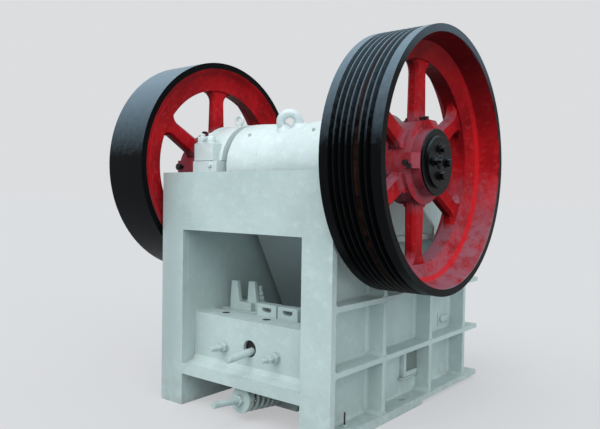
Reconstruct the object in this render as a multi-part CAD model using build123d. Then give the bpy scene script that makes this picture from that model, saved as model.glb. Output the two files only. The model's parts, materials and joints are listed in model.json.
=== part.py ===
from build123d import *
import math
import os

# Single-toggle jaw crusher with a welded frame, a grooved drive pulley and a plain flywheel.
# While the pieces are drawn, X runs along the shaft towards the pulley, Y runs from the rear
# portal plate (Y 0, discharge side) to the front wall (feed side), and Z is up from the floor.
# At the end everything moves so that the origin is the bottom centre of the whole machine.

# Frame
frame_width = 1000.0          # over the ribs and the portal plate
frame_length = 1230.0         # rear portal face to outer face of the front wall
frame_height = 1087.0         # floor to the seats of the bearings
wall_inner_x = 355.0          # half the inner width between the side walls
wall_thickness = 57.0
portal_thickness = 30.0
portal_beam_drop = 266.0      # from the bearing seats down to the window
portal_flange_depth = 90.0
portal_right_leg = 151.0
portal_left_leg = 144.7
window_radius = 6.0
sill_bottom_z = 147.4
sill_top_z = 192.4
pad_length = 760.0            # foot pads under the rear part of the base flange
pad_height = 16.0
flange_thickness = 25.0       # base flange
rib_thickness = 22.0          # horizontal ribs
post_thickness = 25.0         # vertical ribs
mid_rib_z = 274.0
upper_rib_z = 533.0
top_rib_drop = 299.0          # from the bearing seats down to the top rib
post_y = (389.0, 822.0)       # rear face of each vertical rib on a side wall
gusset_foot = 40.0            # straight part of the gusset above the top rib
gusset_tip = 15.0
gusset_drop = 30.0
shoulder_y = 738.0            # end of the bearing pedestal along the wall top
shoulder_drop_y = 946.0
feed_drop = 87.0              # from the bearing seats down to the feed end of the walls
seat_thickness = 30.0
front_reach = 154.0           # depth of the ribs on the front wall
front_wall_thickness = 45.0
front_drop = 112.0            # from the bearing seats down to the front wall's top
front_post_spacing = 250.0
anchor_radius = 15.0          # foundation bolt holes
anchor_edge = 44.0            # from the flange's long edge
rear_anchor_y = 164.0
middle_anchor_y = 636.0
front_anchor_reach = 59.0     # in front of the front wall

# Shaft and bearings
shaft_share = 0.346667        # place of the shaft along the frame's length
shaft_rise = 44.6             # shaft axis above the bearing seats
throw = 10.0                  # offset of the eccentric, straight down at rest
running_gap = 0.05            # radial clearance of a shaft in its bore
eccentric_radius = 95.0
eccentric_shoulder = 5.0      # each end of the eccentric stays this far inside the barrel
journal_radius = 80.0
shaft_end_radius = 62.0
bearing_inset = 3.0           # outer face of a bearing inside the frame's width
bearing_overhang = 25.0       # inner face of a bearing inside the side wall
bearing_split_rise = 19.0     # joint of a housing above the shaft axis
bearing_radius = 212.0
bearing_bowl_radius = 140.0   # round underside of the bearing, let into the wall
bearing_seat_gap = 0.3
bearing_rim = 14.0            # raised edge round each end of a dome
bearing_rim_height = 6.0
ear_reach = 244.0             # from the shaft axis to the end of a bearing's ears
ear_rise = 106.5              # top of the ears above the shaft axis
ear_outer_inset = 10.0
ear_inner_inset = 27.0
bearing_joint = 1.5           # visible joint between base and cap
cap_eye_x = 412.0
cap_eye_ring = 22.5           # middle radius of the ring of a small lifting eye
cap_eye_wire = 7.5
cap_eye_collar = 15.0
cap_eye_foot = 12.0
barrel_eye_ring = 43.0
barrel_eye_wire = 21.0
barrel_eye_back = 79.0        # from the shaft axis towards the rear
barrel_eye_turn = 30.0        # how far this eye is turned about its stem
barrel_eye_rise = 24.0        # centre of the ring above the barrel

# Wheels
wheel_radius = 545.8
wheel_gap = 13.8              # between the frame's side and a wheel
pulley_width = 263.3
flywheel_width = 250.0
rim_face = 29.8               # height of the rim's faces
rim_taper = 21.0              # from the rim's faces down to the step of the web
web_step = 23.0
web_ring = 44.0               # tapering ring that carries the spokes
flywheel_web_ring = 66.0
flywheel_web_inset = 26.0     # its web and spokes sit this much nearer to the frame
web_base = (52.0, 157.0)      # from the wheel's frame side
web_tip = (64.0, 132.0)
rim_neck = (36.0, 173.0)
spoke_count = 6
spoke_middle = 100.0
spoke_depth = 52.0
spoke_root_width = 92.0
spoke_tip_width = 76.0
spoke_chamfer = 13.0
gap_outer_fillet = 48.0
gap_inner_fillet = 26.0
hub_radius = 175.0
hub_start = 42.0
hub_end = 146.0
hub_boss_radius = 140.0
hub_lug_width = 62.0
hub_lug_flat = 30.0           # level top of the hub's lug
groove_count = 7
groove_pitch = 27.2
groove_depth = 17.5
groove_ridge = 5.0            # width of the ridge between two grooves
groove_floor = 9.0
outer_land = 37.0             # plain land on the side away from the frame
cap_radius = 138.0
cap_face = 204.2              # from the wheel's frame side
cap_thickness = 8.0
cap_boss_radius = 107.0
cap_boss_height = 12.0

# Swing jaw
barrel_radius = 220.0         # raised ends of the bearing barrel
barrel_middle_radius = 203.0
barrel_middle_half = 30.0     # half the length of the lower middle part
barrel_swell_x = 140.0        # place of the middle of the swell towards each end
barrel_swell_drop = 4.0       # how far the barrel is below its ends there
barrel_chamfer = 7.0
barrel_side_gap = 63.0        # from the side wall to the end of the barrel
seal_ring_radius = 168.0
seal_ring_bore_gap = 6.0
seal_ring_depth = 12.0
jaw_side_gap = 37.0           # from the side wall to the side of the swing jaw
back_top_reach = 44.0         # upper point on the jaw's back, in front of the shaft axis
back_top_drop = 352.0
back_low_reach = 26.0         # lower point on the jaw's back, behind the toggle's front end
back_low_rise = 178.0
back_shoulder = 140.0         # height over which the back runs on straight
jaw_top_reach = 298.6         # working face of the swing jaw at the top, in front of the shaft
discharge_gap = 82.0          # between the jaws at the bottom
jaw_low_z = 120.0
jaw_plate_thickness = 55.0
jaw_plate_side = 8.0          # the plate is this much narrower on each side
jaw_plate_gap = 0.3
tail_bottom_z = 70.0
tail_toe = 30.0
tooth_height = 16.0
tooth_pitch = 70.6
tooth_flank = 0.36            # share of the pitch taken by a tooth's sloping side
wedge_side = 12.0
wedge_height = 26.0
wedge_lip = 8.0
fixed_jaw_thickness = 60.0
fixed_jaw_top_drop = 10.0     # below the feed end of the side walls
fixed_jaw_low_z = 96.0
fixed_jaw_side_gap = 4.0
cheek_thickness = 16.0
cheek_lap = 60.0              # behind the moving jaw's working face
cheek_low_z = 110.0

# Toggle and its adjustment
lip_depth = 80.0
lip_height = 34.0
lip_slope = 14.0
beam_depth = 130.0
beam_top_z = 428.0
centre_hole_radius = 37.5
centre_hole_z = 306.0
screw_x = 155.0
screw_z = 293.5
screw_radius = 12.0
screw_out_y = -74.5
nut_radius = 19.0
nut_half_height = 11.0
centre_rod_radius = 14.0
centre_rod_drop = 12.0
centre_rod_out_y = -32.0
block_gap = 0.3
shim_thickness = 22.0
shim_count = 2
shim_low_z = 315.0
shim_top_z = 484.0
shim_centre_x = (-17.0, 107.0)
shim_half_width = 58.0
shim_corner = 12.0
handle_half_width = 28.0
handle_low_z = 448.0
handle_top_z = 468.0
handle_corner = 14.0
toggle_block_depth = 95.0
toggle_block_low_z = 228.0
toggle_block_side_gap = 2.0
bracket_outer_x = 302.0       # clamp brackets on the toggle block
bracket_step_x = 164.0
bracket_inner_x = 20.0
bracket_base_height = 38.0
bracket_inset = 7.0
bracket_step_depth = 30.0
bracket_fin_height = 100.0
bracket_fin_width = 62.0
bracket_fin_taper = (8.0, 16.0)
bracket_fin_thickness = 22.0
bracket_fin_pitch = 86.0
toggle_thickness = 42.0
toggle_end_reach = 12.4       # centre of the toggle plate's end in front of its block
toggle_rear_z = 300.0
toggle_front_reach = 410.8    # from the fixed jaw's face back to the toggle plate's front end
toggle_front_z = 204.3
toggle_seat_height = 120.0
toggle_seat_depth = 62.0
toggle_seat_start = 12.0
toggle_seat_side = 20.0
toggle_half_width = 250.0
toggle_end_gap = 4.0

# Tension rod
rod_radius = 14.0
rod_end_y = -138.5
rod_disc = (30.0, 90.0)       # centre of the spring disc (Y, Z)
rod_eye_back = 154.2          # the rod's eye behind the toggle plate's front end
rod_eye_z = 34.0
pin_radius = 8.0
eye_radius = 31.0
eye_half_thickness = 17.0
tail_lug_radius = 20.0
tail_lug_thickness = 20.0
tail_lug_gap = 5.0            # between the rod's eye and each lug of the tail
tail_lug_slope = 22.0
tail_root = 90.0              # how far the lugs run under the jaw
tail_root_height = 30.0
moving_clearance = 5.0        # least distance between the swing jaw and anything fixed
disc_radius = 56.0
disc_thickness = 12.0
disc_nut_radius = 25.0
disc_nut_height = 20.0
spring_radius = 52.0
spring_wire = 9.0
spring_turns = 8
spring_turn_share = 0.62
spring_far_y = 273.0
spring_seat_half_width = 130.0
spring_seat_thickness = 25.0
spring_seat_low_z = 6.0
spring_seat_lap = 30.0        # of its shelf under the cross beam
spring_shelf_height = 12.0
rod_hole_gap = 9.0


def block(x0, x1, y0, y1, z0, z1):
    """A box between two corners."""
    centre = Pos((x0 + x1) / 2, (y0 + y1) / 2, (z0 + z1) / 2)
    return centre * Box(abs(x1 - x0), abs(y1 - y0), abs(z1 - z0))


def side_profile(points, x0, x1):
    """A plate of constant outline: (Y, Z) points, extruded along X."""
    face = Plane.YZ * make_face(Polyline(*points, close=True))
    return Pos(x0, 0, 0) * extrude(face, amount=x1 - x0)


def rear_profile(points, y0, y1):
    """A plate of constant outline: (X, Z) points, extruded along Y."""
    face = Plane.XZ * make_face(Polyline(*points, close=True))
    return Pos(0, y1, 0) * extrude(face, amount=y1 - y0)


def rod_x(y, z, radius, x0, x1):
    """A round bar along X."""
    return Pos((x0 + x1) / 2, y, z) * Rot(0, 90, 0) * Cylinder(radius, x1 - x0)


def rod_y(x, z, radius, y0, y1):
    """A round bar along Y."""
    return Pos(x, (y0 + y1) / 2, z) * Rot(90, 0, 0) * Cylinder(radius, y1 - y0)


def rod_z(x, y, radius, z0, z1):
    """A round bar along Z."""
    return Pos(x, y, (z0 + z1) / 2) * Cylinder(radius, z1 - z0)


def group(shapes):
    """Several solids that belong to one sub-part."""
    return Compound([solid for shape in shapes for solid in shape.solids()])


def mirrored(shape):
    """The same piece on the other side of the machine."""
    return group([solid.mirror(Plane.YZ) for solid in shape.solids()])


# Places that follow from the sizes above
half_width = frame_width / 2
wall_outer_x = wall_inner_x + wall_thickness
flange_low_z = pad_height
flange_top_z = pad_height + flange_thickness
seat_low_z = frame_height - seat_thickness
portal_beam_z = frame_height - portal_beam_drop
top_rib_z = frame_height - top_rib_drop
feed_top_z = frame_height - feed_drop
front_top_z = frame_height - front_drop
front_end_y = frame_length + front_reach
anchor_x = half_width - anchor_edge
shaft_y = frame_length * shaft_share
shaft_z = frame_height + shaft_rise
eccentric_z = shaft_z - throw
bearing_split_z = shaft_z + bearing_split_rise
ear_top_z = shaft_z + ear_rise
bearing_outer_x = half_width - bearing_inset
bearing_inner_x = wall_inner_x - bearing_overhang
wheel_inner_x = half_width + wheel_gap
rim_edge_radius = wheel_radius - rim_face
rim_neck_radius = rim_edge_radius - rim_taper
web_base_radius = rim_neck_radius - web_step
barrel_half = wall_inner_x - barrel_side_gap
jaw_half_width = wall_inner_x - jaw_side_gap
eccentric_half = barrel_half - eccentric_shoulder
beam_front_y = lip_depth + beam_depth
shim_y = beam_front_y + block_gap
block_y = shim_y + shim_thickness * shim_count + block_gap
block_front_y = block_y + toggle_block_depth
toggle_rear = (block_front_y + toggle_end_reach, toggle_rear_z)
fixed_jaw_y = frame_length - front_wall_thickness - fixed_jaw_thickness
toggle_front = (fixed_jaw_y - toggle_front_reach, toggle_front_z)
toggle_run = toggle_front[0] - toggle_rear[0]
toggle_fall = toggle_rear[1] - toggle_front[1]
seat_back_y = toggle_front[0] + toggle_seat_depth
jaw_top = (shaft_y + jaw_top_reach, feed_top_z)
jaw_low = (fixed_jaw_y - discharge_gap, jaw_low_z)
jaw_angle = math.degrees(math.atan2(jaw_low[0] - jaw_top[0], jaw_top[1] - jaw_low[1]))
jaw_length = math.hypot(jaw_low[0] - jaw_top[0], jaw_top[1] - jaw_low[1])
back_top = (shaft_y + back_top_reach, shaft_z - back_top_drop)
back_low = (toggle_front[0] - back_low_reach, toggle_front[1] + back_low_rise)
# The swing jaw circles by the throw round its place at rest, which is the lowest one.
eye_hole_radius = pin_radius + throw + moving_clearance - 1
rod_eye = (toggle_front[0] - rod_eye_back, rod_eye_z)
pin_z = rod_eye_z - throw
rod_slope = math.degrees(math.atan2(rod_disc[1] - rod_eye[1], rod_eye[0] - rod_disc[0]))
rod_length = math.hypot(rod_eye[0] - rod_disc[0], rod_disc[1] - rod_eye[1])
spring_length = (spring_far_y - rod_disc[0]) / math.cos(math.radians(rod_slope)) - disc_thickness


def rear_wall():
    """Portal plate: two legs, top beam and sill, with the window between them."""
    plate = block(-half_width, half_width, 0, portal_thickness, 0, frame_height)
    left = -half_width + portal_left_leg
    right = half_width - portal_right_leg
    window = block(left, right, -1, portal_thickness + 1, sill_top_z, portal_beam_z)
    window = fillet(window.edges().filter_by(Axis.Y), window_radius)
    low = block(left, right, -1, portal_thickness + 1, -1, sill_bottom_z)
    plate = plate - window - low
    flange_y = portal_thickness + portal_flange_depth
    beam_flange = block(-wall_inner_x, wall_inner_x, portal_thickness, flange_y, seat_low_z, frame_height)
    beam_foot = block(-wall_inner_x, wall_inner_x, portal_thickness, flange_y,
                      portal_beam_z, portal_beam_z + rib_thickness)
    return plate + beam_flange + beam_foot


def bearing_recess():
    """Round seat of the bearing in the top of the side wall."""
    return rod_x(shaft_y, shaft_z, bearing_bowl_radius + bearing_seat_gap, 0, half_width + 10)


def side_wall():
    """Right wall: a thick plate with a high pedestal under the bearing and a lower feed end."""
    y0 = portal_thickness
    outline = [(y0, 0), (pad_length, 0), (pad_length, pad_height), (frame_length, pad_height),
               (frame_length, feed_top_z), (shoulder_drop_y, feed_top_z), (shoulder_y, seat_low_z),
               (y0, seat_low_z)]
    return side_profile(outline, wall_inner_x, wall_outer_x) - bearing_recess()


def side_flanges():
    """Right side: base flange with its foot pad, three horizontal ribs and the bearing seat."""
    y0, y1 = portal_thickness, frame_length
    base = block(wall_outer_x, half_width, y0, y1, flange_low_z, flange_top_z)
    base += block(wall_outer_x, half_width, y0, pad_length, 0, flange_low_z)
    for y in (rear_anchor_y, middle_anchor_y):
        base -= rod_z(anchor_x, y, anchor_radius, -1, flange_top_z + 1)
    bars = [base]
    for z in (mid_rib_z, upper_rib_z, top_rib_z):
        bars.append(block(wall_outer_x, half_width, y0, y1, z, z + rib_thickness))
    seat = block(wall_inner_x, half_width, y0, shoulder_y, seat_low_z, frame_height)
    bars.append(seat - bearing_recess())
    return group(bars)


def rib_levels():
    """Lower and upper Z of the vertical ribs between the horizontal ones."""
    return [(flange_top_z, mid_rib_z), (mid_rib_z + rib_thickness, upper_rib_z),
            (upper_rib_z + rib_thickness, top_rib_z)]


def side_ribs():
    """Right side: vertical ribs between the horizontal ones, a post and a gusset above them."""
    bars = []
    for y in post_y + (frame_length - post_thickness,):
        for low, high in rib_levels():
            bars.append(block(wall_outer_x, half_width, y, y + post_thickness, low, high))
    top_low = top_rib_z + rib_thickness
    first, second = post_y
    post = block(wall_outer_x, half_width, first, first + post_thickness, top_low, seat_low_z)
    bars.append(post - bearing_recess())
    tip_z = feed_top_z - gusset_drop
    outline = [(wall_outer_x, top_low), (half_width, top_low), (half_width, top_low + gusset_foot),
               (wall_outer_x + gusset_tip, tip_z), (wall_outer_x, tip_z)]
    bars.append(rear_profile(outline, second, second + post_thickness))
    return group(bars)


def front_wall():
    """Wall behind the fixed jaw, between the side walls."""
    y1 = frame_length
    return block(-wall_inner_x, wall_inner_x, y1 - front_wall_thickness, y1, flange_low_z, front_top_z)


def front_flanges():
    """Base flange and horizontal ribs that carry on round the front wall."""
    base = block(-half_width, half_width, frame_length, front_end_y, flange_low_z, flange_top_z)
    for side in (-1, 1):
        base -= rod_z(side * anchor_x, frame_length + front_anchor_reach, anchor_radius, 0, flange_top_z + 1)
    bars = [base]
    for z in (mid_rib_z, upper_rib_z, top_rib_z):
        bars.append(block(-half_width, half_width, frame_length, front_end_y, z, z + rib_thickness))
    return group(bars)


def front_ribs():
    """Vertical ribs on the front wall."""
    bars = []
    for x in (-front_post_spacing, 0, front_post_spacing):
        for low, high in rib_levels():
            bars.append(block(x - post_thickness / 2, x + post_thickness / 2,
                              frame_length, front_end_y, low, high))
    return group(bars)


def adjusting_beam():
    """Cross beam behind the portal: sloping lip, flat face, top and the centre hole."""
    y0, y1, y2 = portal_thickness, lip_depth, beam_front_y
    outline = [(y0, sill_bottom_z), (y2, sill_bottom_z), (y2, beam_top_z), (y1, beam_top_z),
               (y1, sill_top_z + lip_height), (y1 - lip_slope, sill_top_z + lip_slope), (y0, sill_top_z)]
    beam = side_profile(outline, -wall_inner_x, wall_inner_x)
    beam -= rod_y(0, centre_hole_z, centre_hole_radius, 0, y2 + 1)
    for x in (-screw_x, screw_x):
        beam -= rod_y(x, screw_z, screw_radius + running_gap, 0, y2 + 1)
    return beam


def shims():
    """Two packs of shim plates side by side, each with a handle hole above the beam."""
    packs = []
    for x in shim_centre_x:
        plate = block(x - shim_half_width, x + shim_half_width, shim_y, block_y - block_gap,
                      shim_low_z, shim_top_z)
        plate = fillet(plate.edges().filter_by(Axis.Y).group_by(Axis.Z)[-1], shim_corner)
        hole = block(x - handle_half_width, x + handle_half_width, shim_y - 1, block_y + 1,
                     handle_low_z, handle_top_z)
        hole = fillet(hole.edges().filter_by(Axis.Y).group_by(Axis.Z)[0], handle_corner)
        packs.append(plate - hole)
    return group(packs)


def toggle_block():
    """Sliding seat for the rear end of the toggle plate."""
    half = wall_inner_x - toggle_block_side_gap
    body = block(-half, half, block_y, block_front_y, toggle_block_low_z, beam_top_z)
    seat_half = toggle_half_width + toggle_end_gap
    return body - rod_x(toggle_rear[0], toggle_rear[1], toggle_thickness / 2 + block_gap,
                        -seat_half, seat_half)


def toggle_plate():
    """Flat plate with rounded ends between the toggle block and the swing jaw."""
    middle = Pos((toggle_rear[0] + toggle_front[0]) / 2, (toggle_rear[1] + toggle_front[1]) / 2)
    flat = SlotCenterToCenter(math.hypot(toggle_run, toggle_fall), toggle_thickness)
    face = Plane.YZ * middle * Rot(0, 0, -math.degrees(math.atan2(toggle_fall, toggle_run))) * flat
    return Pos(-toggle_half_width, 0, 0) * extrude(face, amount=2 * toggle_half_width)


def clamp_bracket():
    """Right bracket that holds the toggle block down: a stepped base plate with two fins."""
    y0, y1 = block_y + bracket_inset, block_front_y - bracket_inset
    z0 = beam_top_z
    z1 = z0 + bracket_base_height
    base = block(bracket_step_x, bracket_outer_x, y0, y1, z0, z1)
    base += block(bracket_inner_x, bracket_step_x, y0 + bracket_step_depth, y1, z0, z1)
    top = z1 + bracket_fin_height
    outer_taper, inner_taper = bracket_fin_taper
    for index in (0, 1):
        x1 = bracket_outer_x - index * bracket_fin_pitch
        x0 = x1 - bracket_fin_width
        outline = [(x0, z1), (x1, z1), (x1 - outer_taper, top), (x0 + inner_taper, top)]
        y = y0 + index * bracket_step_depth
        base += rear_profile(outline, y, y + bracket_fin_thickness)
    return base


def adjusting_screws():
    """Two screws with hex nuts through the beam, holding the toggle block."""
    screws = []
    for x in (-screw_x, screw_x):
        bar = rod_y(x, screw_z, screw_radius, screw_out_y, block_y - block_gap)
        nut = extrude(RegularPolygon(nut_radius, 6), nut_half_height, both=True)
        screws.append(bar + Pos(x, lip_depth - nut_half_height, screw_z) * Rot(90, 0, 0) * nut)
    return group(screws)


def centre_rod():
    """Draw rod of the toggle block, sticking out of the centre hole."""
    return rod_y(0, centre_hole_z - centre_rod_drop, centre_rod_radius, centre_rod_out_y, block_y)


def along_rod(shape_along_z):
    """Place a shape drawn along +Z, with its base at the disc, along the rod towards the pin."""
    return Pos(0, rod_disc[0], rod_disc[1]) * Rot(-90 - rod_slope, 0, 0) * shape_along_z


def tension_rod():
    """Draw rod with an eye round the pin in the jaw's tail."""
    tail = (rod_disc[0] - rod_end_y) / math.cos(math.radians(rod_slope))
    reach = rod_length - (eye_radius + eye_hole_radius) / 2 + 1
    bar = Pos(0, 0, (reach - tail) / 2) * Cylinder(rod_radius, reach + tail)
    rod = along_rod(bar)
    half = eye_half_thickness
    eye = rod_x(rod_eye[0], rod_eye[1], eye_radius, -half, half)
    hole = rod_x(rod_eye[0], rod_eye[1], eye_hole_radius, -half - 1, half + 1)
    return rod + eye - hole


def spring_disc():
    """Pressed disc and nut at the rear end of the spring."""
    bore = Cylinder(rod_radius + running_gap, 4 * disc_nut_height)
    disc = Cylinder(disc_radius, disc_thickness) - bore
    nut = extrude(RegularPolygon(disc_nut_radius, 6), disc_nut_height) - bore
    return along_rod(disc) + along_rod(Pos(0, 0, -disc_thickness / 2 - disc_nut_height) * nut)


def tension_spring():
    """Coil spring as a ribbed sleeve of closed turns."""
    pitch = spring_length / spring_turns
    inner = spring_radius - 2 * spring_wire
    sleeve = Pos(0, 0, (disc_thickness + spring_length) / 2) * Cylinder(inner + spring_wire, spring_length)
    for index in range(spring_turns):
        middle = disc_thickness / 2 + pitch * (index + 0.5)
        sleeve += Pos(0, 0, middle) * Cylinder(spring_radius, pitch * spring_turn_share)
    sleeve -= Pos(0, 0, spring_length / 2) * Cylinder(inner, 2 * spring_length)
    return along_rod(sleeve)


def spring_bracket():
    """Plate under the cross beam that the spring bears on."""
    face = spring_length + disc_thickness / 2 + block_gap
    half = spring_seat_half_width
    slab = Box(2 * half, 2 * sill_bottom_z, spring_seat_thickness)
    plate = along_rod(Pos(0, 0, face + spring_seat_thickness / 2) * slab)
    far_y = spring_far_y + spring_seat_thickness
    plate &= block(-half, half, 0, 2 * far_y, spring_seat_low_z, sill_bottom_z)
    shelf = block(-half, half, beam_front_y - spring_seat_lap, far_y,
                  sill_bottom_z - spring_shelf_height, sill_bottom_z)
    hole = along_rod(Pos(0, 0, face) * Cylinder(rod_radius + rod_hole_gap, 4 * spring_seat_thickness))
    return plate + shelf - hole


def bearing_base():
    """Right lower half of the bearing housing, standing on the pedestal."""
    body = block(bearing_inner_x, bearing_outer_x, shaft_y - ear_reach, shaft_y + ear_reach,
                 frame_height, bearing_split_z)
    bowl = rod_x(shaft_y, shaft_z, bearing_bowl_radius, wall_inner_x, bearing_outer_x)
    body += bowl - block(0, half_width + 10, 0, frame_length, bearing_split_z, 2 * shaft_z)
    return body - rod_x(shaft_y, shaft_z, journal_radius + running_gap, 0, half_width + 10)


def bearing_cap():
    """Right upper half: a round dome with raised ends and a bolted ear in front and behind."""
    low = bearing_split_z + bearing_joint
    dome = rod_x(shaft_y, shaft_z, bearing_radius - bearing_rim_height, bearing_inner_x, bearing_outer_x)
    for x in (bearing_inner_x, bearing_outer_x - bearing_rim):
        dome += rod_x(shaft_y, shaft_z, bearing_radius, x, x + bearing_rim)
    ears = block(bearing_inner_x + ear_inner_inset, bearing_outer_x - ear_outer_inset,
                 shaft_y - ear_reach, shaft_y + ear_reach, low, ear_top_z)
    body = dome + ears - block(0, half_width + 10, 0, frame_length, 0, low)
    return body - rod_x(shaft_y, shaft_z, journal_radius + running_gap, 0, half_width + 10)


def cheek_plate():
    """Right liner of the crushing chamber, on the side wall."""
    front = frame_length - front_wall_thickness
    slope = (jaw_low[0] - jaw_top[0]) / (jaw_top[1] - jaw_low[1])
    low_y = jaw_top[0] + slope * (jaw_top[1] - cheek_low_z) - cheek_lap
    outline = [(jaw_top[0] - cheek_lap, feed_top_z), (front, feed_top_z), (front, cheek_low_z),
               (low_y, cheek_low_z)]
    return side_profile(outline, wall_inner_x - cheek_thickness, wall_inner_x)


def ridged_plate(length, thickness, half):
    """Jaw plate along +Z from 0, back face at Y 0, ridges towards +Y."""
    count = int(2 * half // tooth_pitch)
    start = -count * tooth_pitch / 2
    root = thickness - tooth_height
    points = [(-half, 0), (-half, root)]
    for index in range(count):
        x = start + index * tooth_pitch
        flank = tooth_pitch * tooth_flank
        points += [(x, root), (x + flank, thickness), (x + tooth_pitch - flank, thickness)]
    points += [(start + count * tooth_pitch, root), (half, root), (half, 0)]
    return extrude(make_face(Polyline(*points, close=True)), length)


def fixed_jaw_plate():
    """Upright ridged jaw plate against the front wall."""
    half = wall_inner_x - cheek_thickness - fixed_jaw_side_gap
    length = feed_top_z - fixed_jaw_top_drop - fixed_jaw_low_z
    plate = ridged_plate(length, fixed_jaw_thickness, half)
    return Pos(0, frame_length - front_wall_thickness, fixed_jaw_low_z) * Rot(0, 0, 180) * plate


def jaw_back(fraction, offset):
    """Point (Y, Z) behind the jaw's working face, at a share of the way down it."""
    y = jaw_top[0] + fraction * (jaw_low[0] - jaw_top[0])
    z = jaw_top[1] + fraction * (jaw_low[1] - jaw_top[1])
    lean = math.radians(jaw_angle)
    return (y - offset * math.cos(lean), z - offset * math.sin(lean))


def tail_lugs():
    """Two lugs under the swing jaw with the pin that the tension rod pulls on."""
    pin_y = rod_eye[0]
    low = pin_z - tail_lug_radius
    high = pin_z + tail_lug_radius
    root_y = seat_back_y + tail_root
    root_z = tail_bottom_z + tail_root_height
    outline = [(pin_y, low), (seat_back_y, low + tail_lug_slope), (root_y, tail_bottom_z),
               (root_y, root_z), (seat_back_y, root_z),
               (seat_back_y - tail_root_height, high + tail_lug_slope), (pin_y, high)]
    x0 = eye_half_thickness + tail_lug_gap
    x1 = x0 + tail_lug_thickness
    lug = side_profile(outline, x0, x1) + rod_x(pin_y, pin_z, tail_lug_radius, x0, x1)
    return lug + lug.mirror(Plane.YZ) + rod_x(pin_y, pin_z, pin_radius, -x1, x1)


def toggle_seat():
    """Seat block on the back of the swing jaw, grooved round the toggle plate's end."""
    half = toggle_seat_height / 2
    side = jaw_half_width - toggle_seat_side
    seat = block(-side, side, toggle_front[0] + toggle_seat_start, seat_back_y,
                 toggle_front[1] - half, toggle_front[1] + half)
    groove = toggle_thickness / 2 + throw + moving_clearance
    return seat - rod_x(toggle_front[0], toggle_front[1] - throw, groove, -jaw_half_width, jaw_half_width)


def seal_ring():
    """Right end cover of the barrel."""
    x0, x1 = barrel_half, barrel_half + seal_ring_depth
    ring = rod_x(shaft_y, eccentric_z, seal_ring_radius, x0, x1)
    return ring - rod_x(shaft_y, eccentric_z, eccentric_radius + seal_ring_bore_gap, x0 - 1, x1 + 1)


def jaw_wedge():
    """Bar that clamps the top of the moving jaw plate."""
    ya, za = jaw_back(0, jaw_plate_thickness)
    yb, zb = jaw_back(0, tooth_height)
    lift = 2 * jaw_plate_gap
    outline = [(ya + lift, za + lift), (yb, zb + lift), (yb - wedge_lip, zb + wedge_height - wedge_lip / 2),
               (ya + lift, zb + wedge_height)]
    side = jaw_half_width - wedge_side
    return side_profile(outline, -side, side)


def barrel():
    """Bearing barrel of the swing jaw, round the X axis, swelling from its middle to its ends."""
    end, middle = barrel_half, barrel_middle_half
    tall, low = barrel_radius, barrel_middle_radius
    swell = ThreePointArc((middle, low), (barrel_swell_x, tall - barrel_swell_drop),
                          (end - barrel_chamfer, tall))
    rest = Polyline((end - barrel_chamfer, tall), (end, tall - barrel_chamfer), (end, 0), (0, 0),
                    (0, low), (middle, low))
    half = Pos(0, shaft_y, eccentric_z) * revolve(Plane.XZ * make_face([swell, rest]), Axis.X)
    return half + half.mirror(Plane.YZ)


def pitman():
    """Swing jaw: bearing barrel and tapering jaw body in one casting."""
    seat_top = jaw_back(0, jaw_plate_thickness + jaw_plate_gap)
    seat_low = jaw_back(1, jaw_plate_thickness + jaw_plate_gap)
    slope = (back_low[0] - back_top[0]) / (back_top[1] - back_low[1])
    shoulder = (back_top[0] - slope * back_shoulder, back_top[1] + back_shoulder)
    inside = barrel_middle_radius / 2
    outline = [seat_top, seat_low, (seat_low[0] - tail_toe, tail_bottom_z), (seat_back_y, tail_bottom_z),
               (seat_back_y, toggle_front[1] + toggle_seat_height / 2), back_low, back_top, shoulder,
               (shaft_y - inside, eccentric_z - inside), (shaft_y, eccentric_z),
               (shaft_y + 1.7 * inside, eccentric_z)]
    body = side_profile(outline, -jaw_half_width, jaw_half_width)
    low = eccentric_z - barrel_radius
    for side in (-1, 1):
        body -= block(side * barrel_half, side * half_width, 0, frame_length, low, 2 * shaft_z)
    casting = barrel() + body + tail_lugs()
    return casting - rod_x(shaft_y, eccentric_z, eccentric_radius + running_gap,
                           -barrel_half - 1, barrel_half + 1)


def barrel_eye():
    """Thick lifting ring let a little into the rear of the barrel's middle."""
    lean = math.degrees(math.asin(barrel_eye_back / barrel_middle_radius))
    ring = Pos(0, 0, barrel_middle_radius + barrel_eye_rise)
    ring *= Rot(0, 0, barrel_eye_turn) * Rot(90, 0, 0) * Torus(barrel_eye_ring, barrel_eye_wire)
    eye = Pos(0, shaft_y, eccentric_z) * Rot(lean, 0, 0) * ring
    return eye - barrel()


def cap_eye():
    """Small lifting eye on the right bearing cap: a ring on a round collar."""
    z = shaft_z + bearing_radius - bearing_rim_height
    foot = rod_z(cap_eye_x, shaft_y, cap_eye_collar, z, z + cap_eye_foot)
    ring = Pos(cap_eye_x, shaft_y, z + cap_eye_foot + cap_eye_ring) * Rot(90, 0, 0)
    return foot + ring * Torus(cap_eye_ring, cap_eye_wire)


def moving_jaw_plate():
    """Ridged jaw plate on the swing jaw."""
    plate = ridged_plate(jaw_length, jaw_plate_thickness, jaw_half_width - jaw_plate_side)
    back = jaw_back(1, jaw_plate_thickness)
    return Pos(0, back[0], back[1]) * Rot(jaw_angle, 0, 0) * plate


def eccentric_shaft():
    """Shaft with the thicker eccentric part inside the barrel."""
    middle = rod_x(shaft_y, eccentric_z, eccentric_radius, -eccentric_half, eccentric_half)
    journals = rod_x(shaft_y, shaft_z, journal_radius, -wheel_inner_x, wheel_inner_x)
    end_x = wheel_inner_x + cap_face - cap_thickness
    return middle + journals + rod_x(shaft_y, shaft_z, shaft_end_radius, -end_x, end_x)


def on_shaft(shape):
    """Place a wheel drawn along +Z, frame side at 0, on the pulley end of the shaft."""
    return Pos(wheel_inner_x, shaft_y, shaft_z) * Rot(0, 90, 0) * shape


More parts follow.
